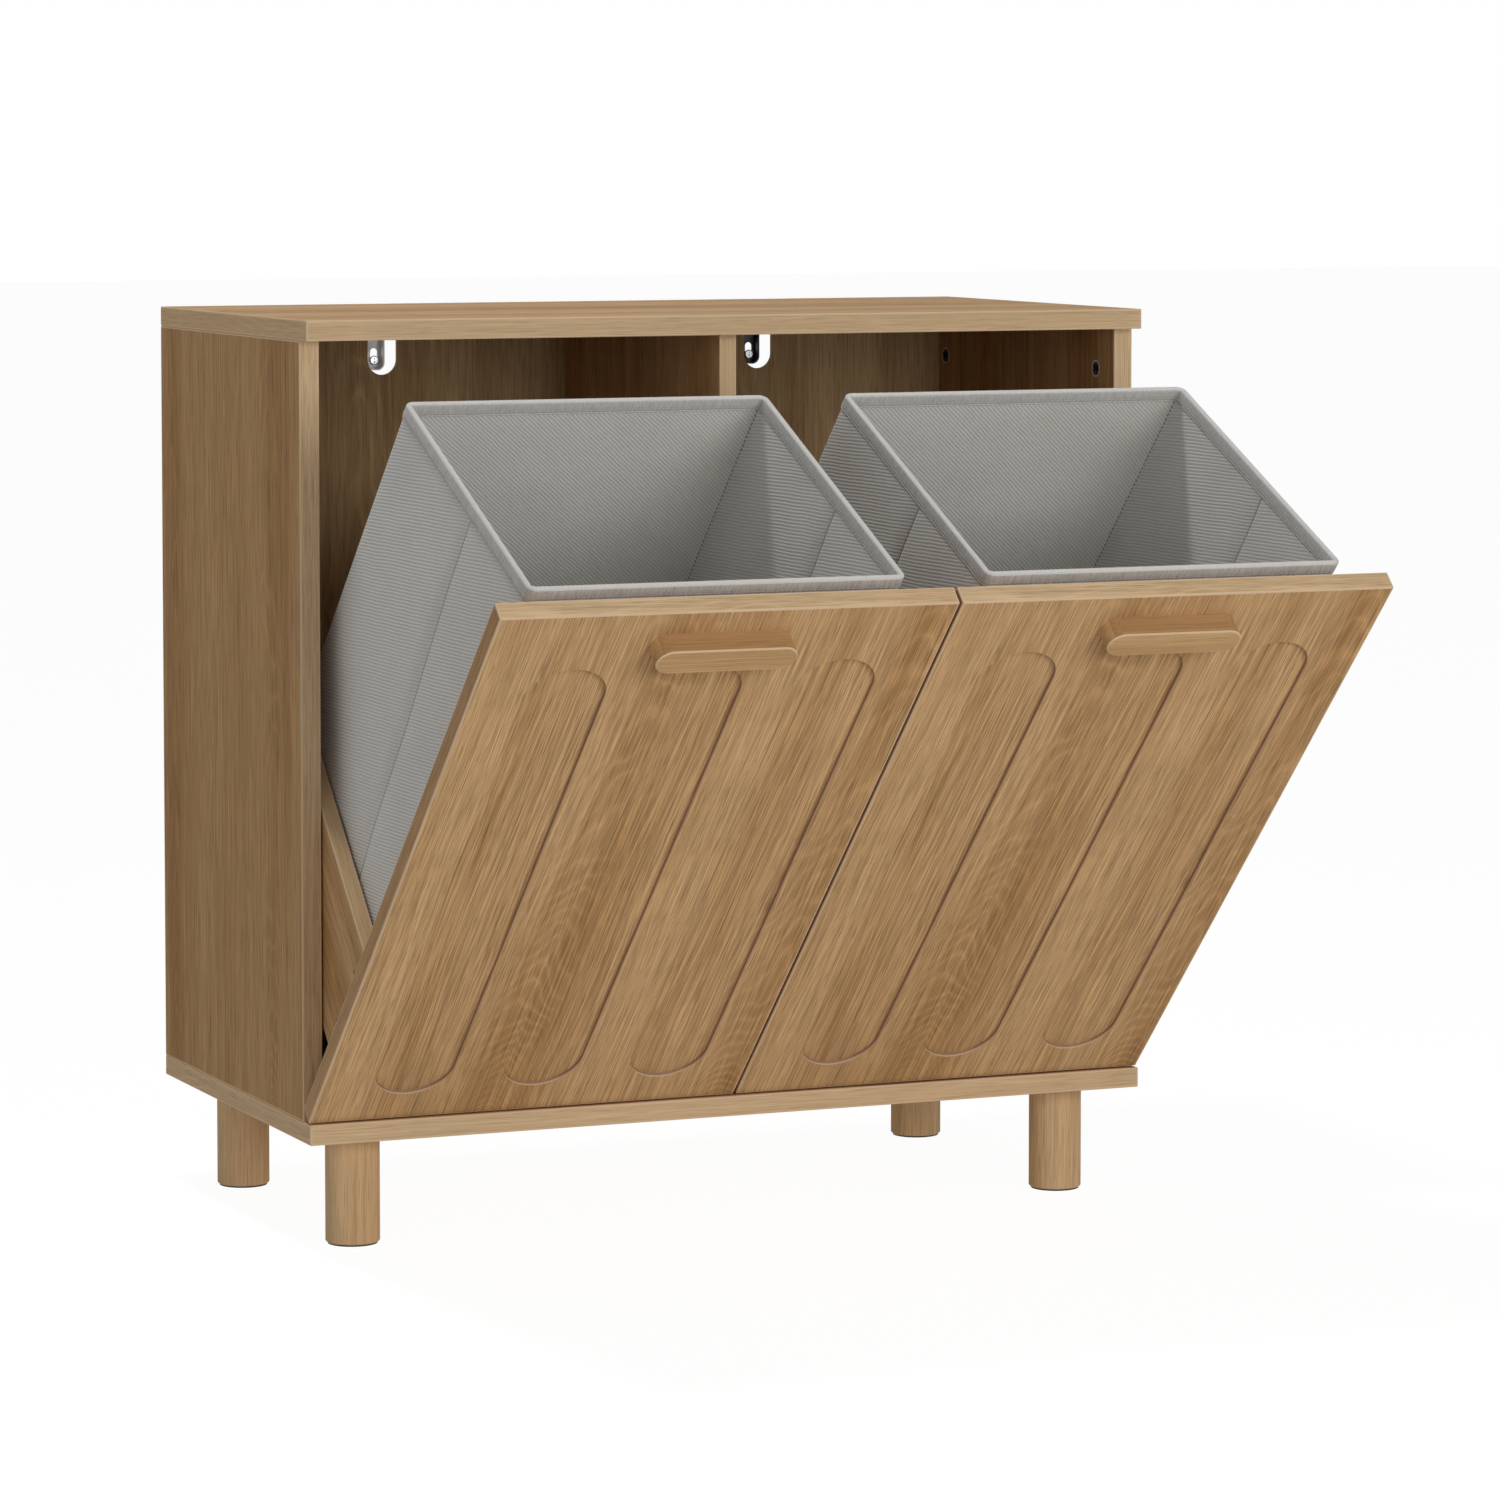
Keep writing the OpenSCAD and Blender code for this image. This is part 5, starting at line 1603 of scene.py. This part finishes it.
class CABINET_OT_trays(bpy.types.Operator):
    """Finishes the boards of both trays in oak"""

    bl_idname = "cabinet.trays"
    bl_label = "Trays"

    def execute(self, context):
        look = context.scene.cabinet_oak
        for side in SIDES:
            for node, board in TRAY.items():
                low, high = unit_box(side, node)
                material = oak_material(f"oak_{side}_{node}", look, board, low, high, side)
                dress(f"{side}_{node}", material)
        return {"FINISHED"}


class CABINET_OT_fittings(bpy.types.Operator):
    """Finishes cams, bolts, screws, brackets, hinges and dowels"""

    bl_idname = "cabinet.fittings"
    bl_label = "Fittings"

    def execute(self, context):
        zinc = finish_material("zinc", ZINC)
        for node in ZINC_NODES:
            dress(node, zinc)
        for side in SIDES:
            unit_zinc = finish_material(f"zinc_{side}", ZINC, side)
            for node in UNIT_ZINC:
                dress(f"{side}_{node}", unit_zinc)
            dress(f"{side}_tray_cams", finish_material(f"cam_{side}", DARK_METAL, side))
        dark = finish_material("dark_metal", DARK_METAL)
        for node in DARK_NODES:
            dress(node, dark)
        # The left bracket's zinc is painted pale, as a painted reflection
        dress("left_wall_bracket", finish_material("zinc_painted_reflection", ZINC_PAINTED_REFLECTION))
        dress("cam_locks", cam_material())
        dress("dowels", dowel_material(context.scene.cabinet_oak))
        return {"FINISHED"}


class CABINET_OT_baskets(bpy.types.Operator):
    """Builds both baskets: wall, binding, piping, seams and base board"""

    bl_idname = "cabinet.baskets"
    bl_label = "Baskets"

    def execute(self, context):
        look = context.scene.cabinet_cloth
        for side in SIDES:
            basket = Basket(side, context.scene.cabinet_basket)
            wall = cloth_material(f"cloth_{side}", look, basket)
            tape = tape_material(f"tape_{side}", look, basket)
            pale = thread_material(f"thread_{side}", look.light, side)
            dark = thread_material(f"corner_thread_{side}", look.thread, side)
            shell = mesh_object(f"{side}_basket_wall", side, shell_maker(basket), wall)
            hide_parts(f"{side}_basket")
            mesh_object(f"{side}_basket_binding", side, binding_maker(basket), tape)
            mesh_object(f"{side}_basket_piping", side, piping_maker(basket), tape)
            mesh_object(f"{side}_basket_stitches", side, seam_maker(basket), pale)
            mesh_object(f"{side}_corner_stitches", side, corner_seam_maker(basket), dark)
            cover = cloth_material(f"board_{side}", look, basket, BOARD_LIGHT, seams=False)
            board = mesh_object(f"{side}_basket_floor", side, board_maker(basket), cover)
            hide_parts(f"{side}_basket_board")
        return {"FINISHED"}


class CABINET_PT_looks(bpy.types.Panel):
    """Lists the finishes of the cabinet"""

    bl_idname = "CABINET_PT_looks"
    bl_label = "Laundry Cabinet"
    bl_space_type = "VIEW_3D"
    bl_region_type = "UI"
    bl_category = "Cabinet"

    def draw(self, context):
        for operator in OPERATORS:
            self.layout.operator(operator.bl_idname)
        for name, group in PROPERTIES.items():
            box = self.layout.box()
            for field in group.__annotations__:
                box.prop(getattr(context.scene, name), field)


PROPERTIES = {
    "cabinet_oak": OakLook,
    "cabinet_cloth": ClothLook,
    "cabinet_basket": BasketShape,
    "cabinet_studio": StudioLook,
}
OPERATORS = (CABINET_OT_stage, CABINET_OT_carcass, CABINET_OT_feet, CABINET_OT_doors,
             CABINET_OT_handles, CABINET_OT_trays, CABINET_OT_fittings, CABINET_OT_baskets)


def register():
    """Registers the properties, the operators and the panel."""
    for name, group in PROPERTIES.items():
        bpy.utils.register_class(group)
        setattr(bpy.types.Scene, name, bpy.props.PointerProperty(type=group))
    for made in OPERATORS + (CABINET_PT_looks,):
        bpy.utils.register_class(made)


def unregister():
    """Takes them away again."""
    for made in (CABINET_PT_looks,) + OPERATORS[::-1]:
        bpy.utils.unregister_class(made)
    for name, group in PROPERTIES.items():
        delattr(bpy.types.Scene, name)
        bpy.utils.unregister_class(group)


def main():
    """Finishes the whole cabinet."""
    register()
    build_groups()
    bpy.ops.cabinet.stage()
    bpy.ops.cabinet.carcass()
    bpy.ops.cabinet.feet()
    bpy.ops.cabinet.doors()
    bpy.ops.cabinet.handles()
    bpy.ops.cabinet.trays()
    bpy.ops.cabinet.fittings()
    bpy.ops.cabinet.baskets()


if __name__ == "__main__":
    main()
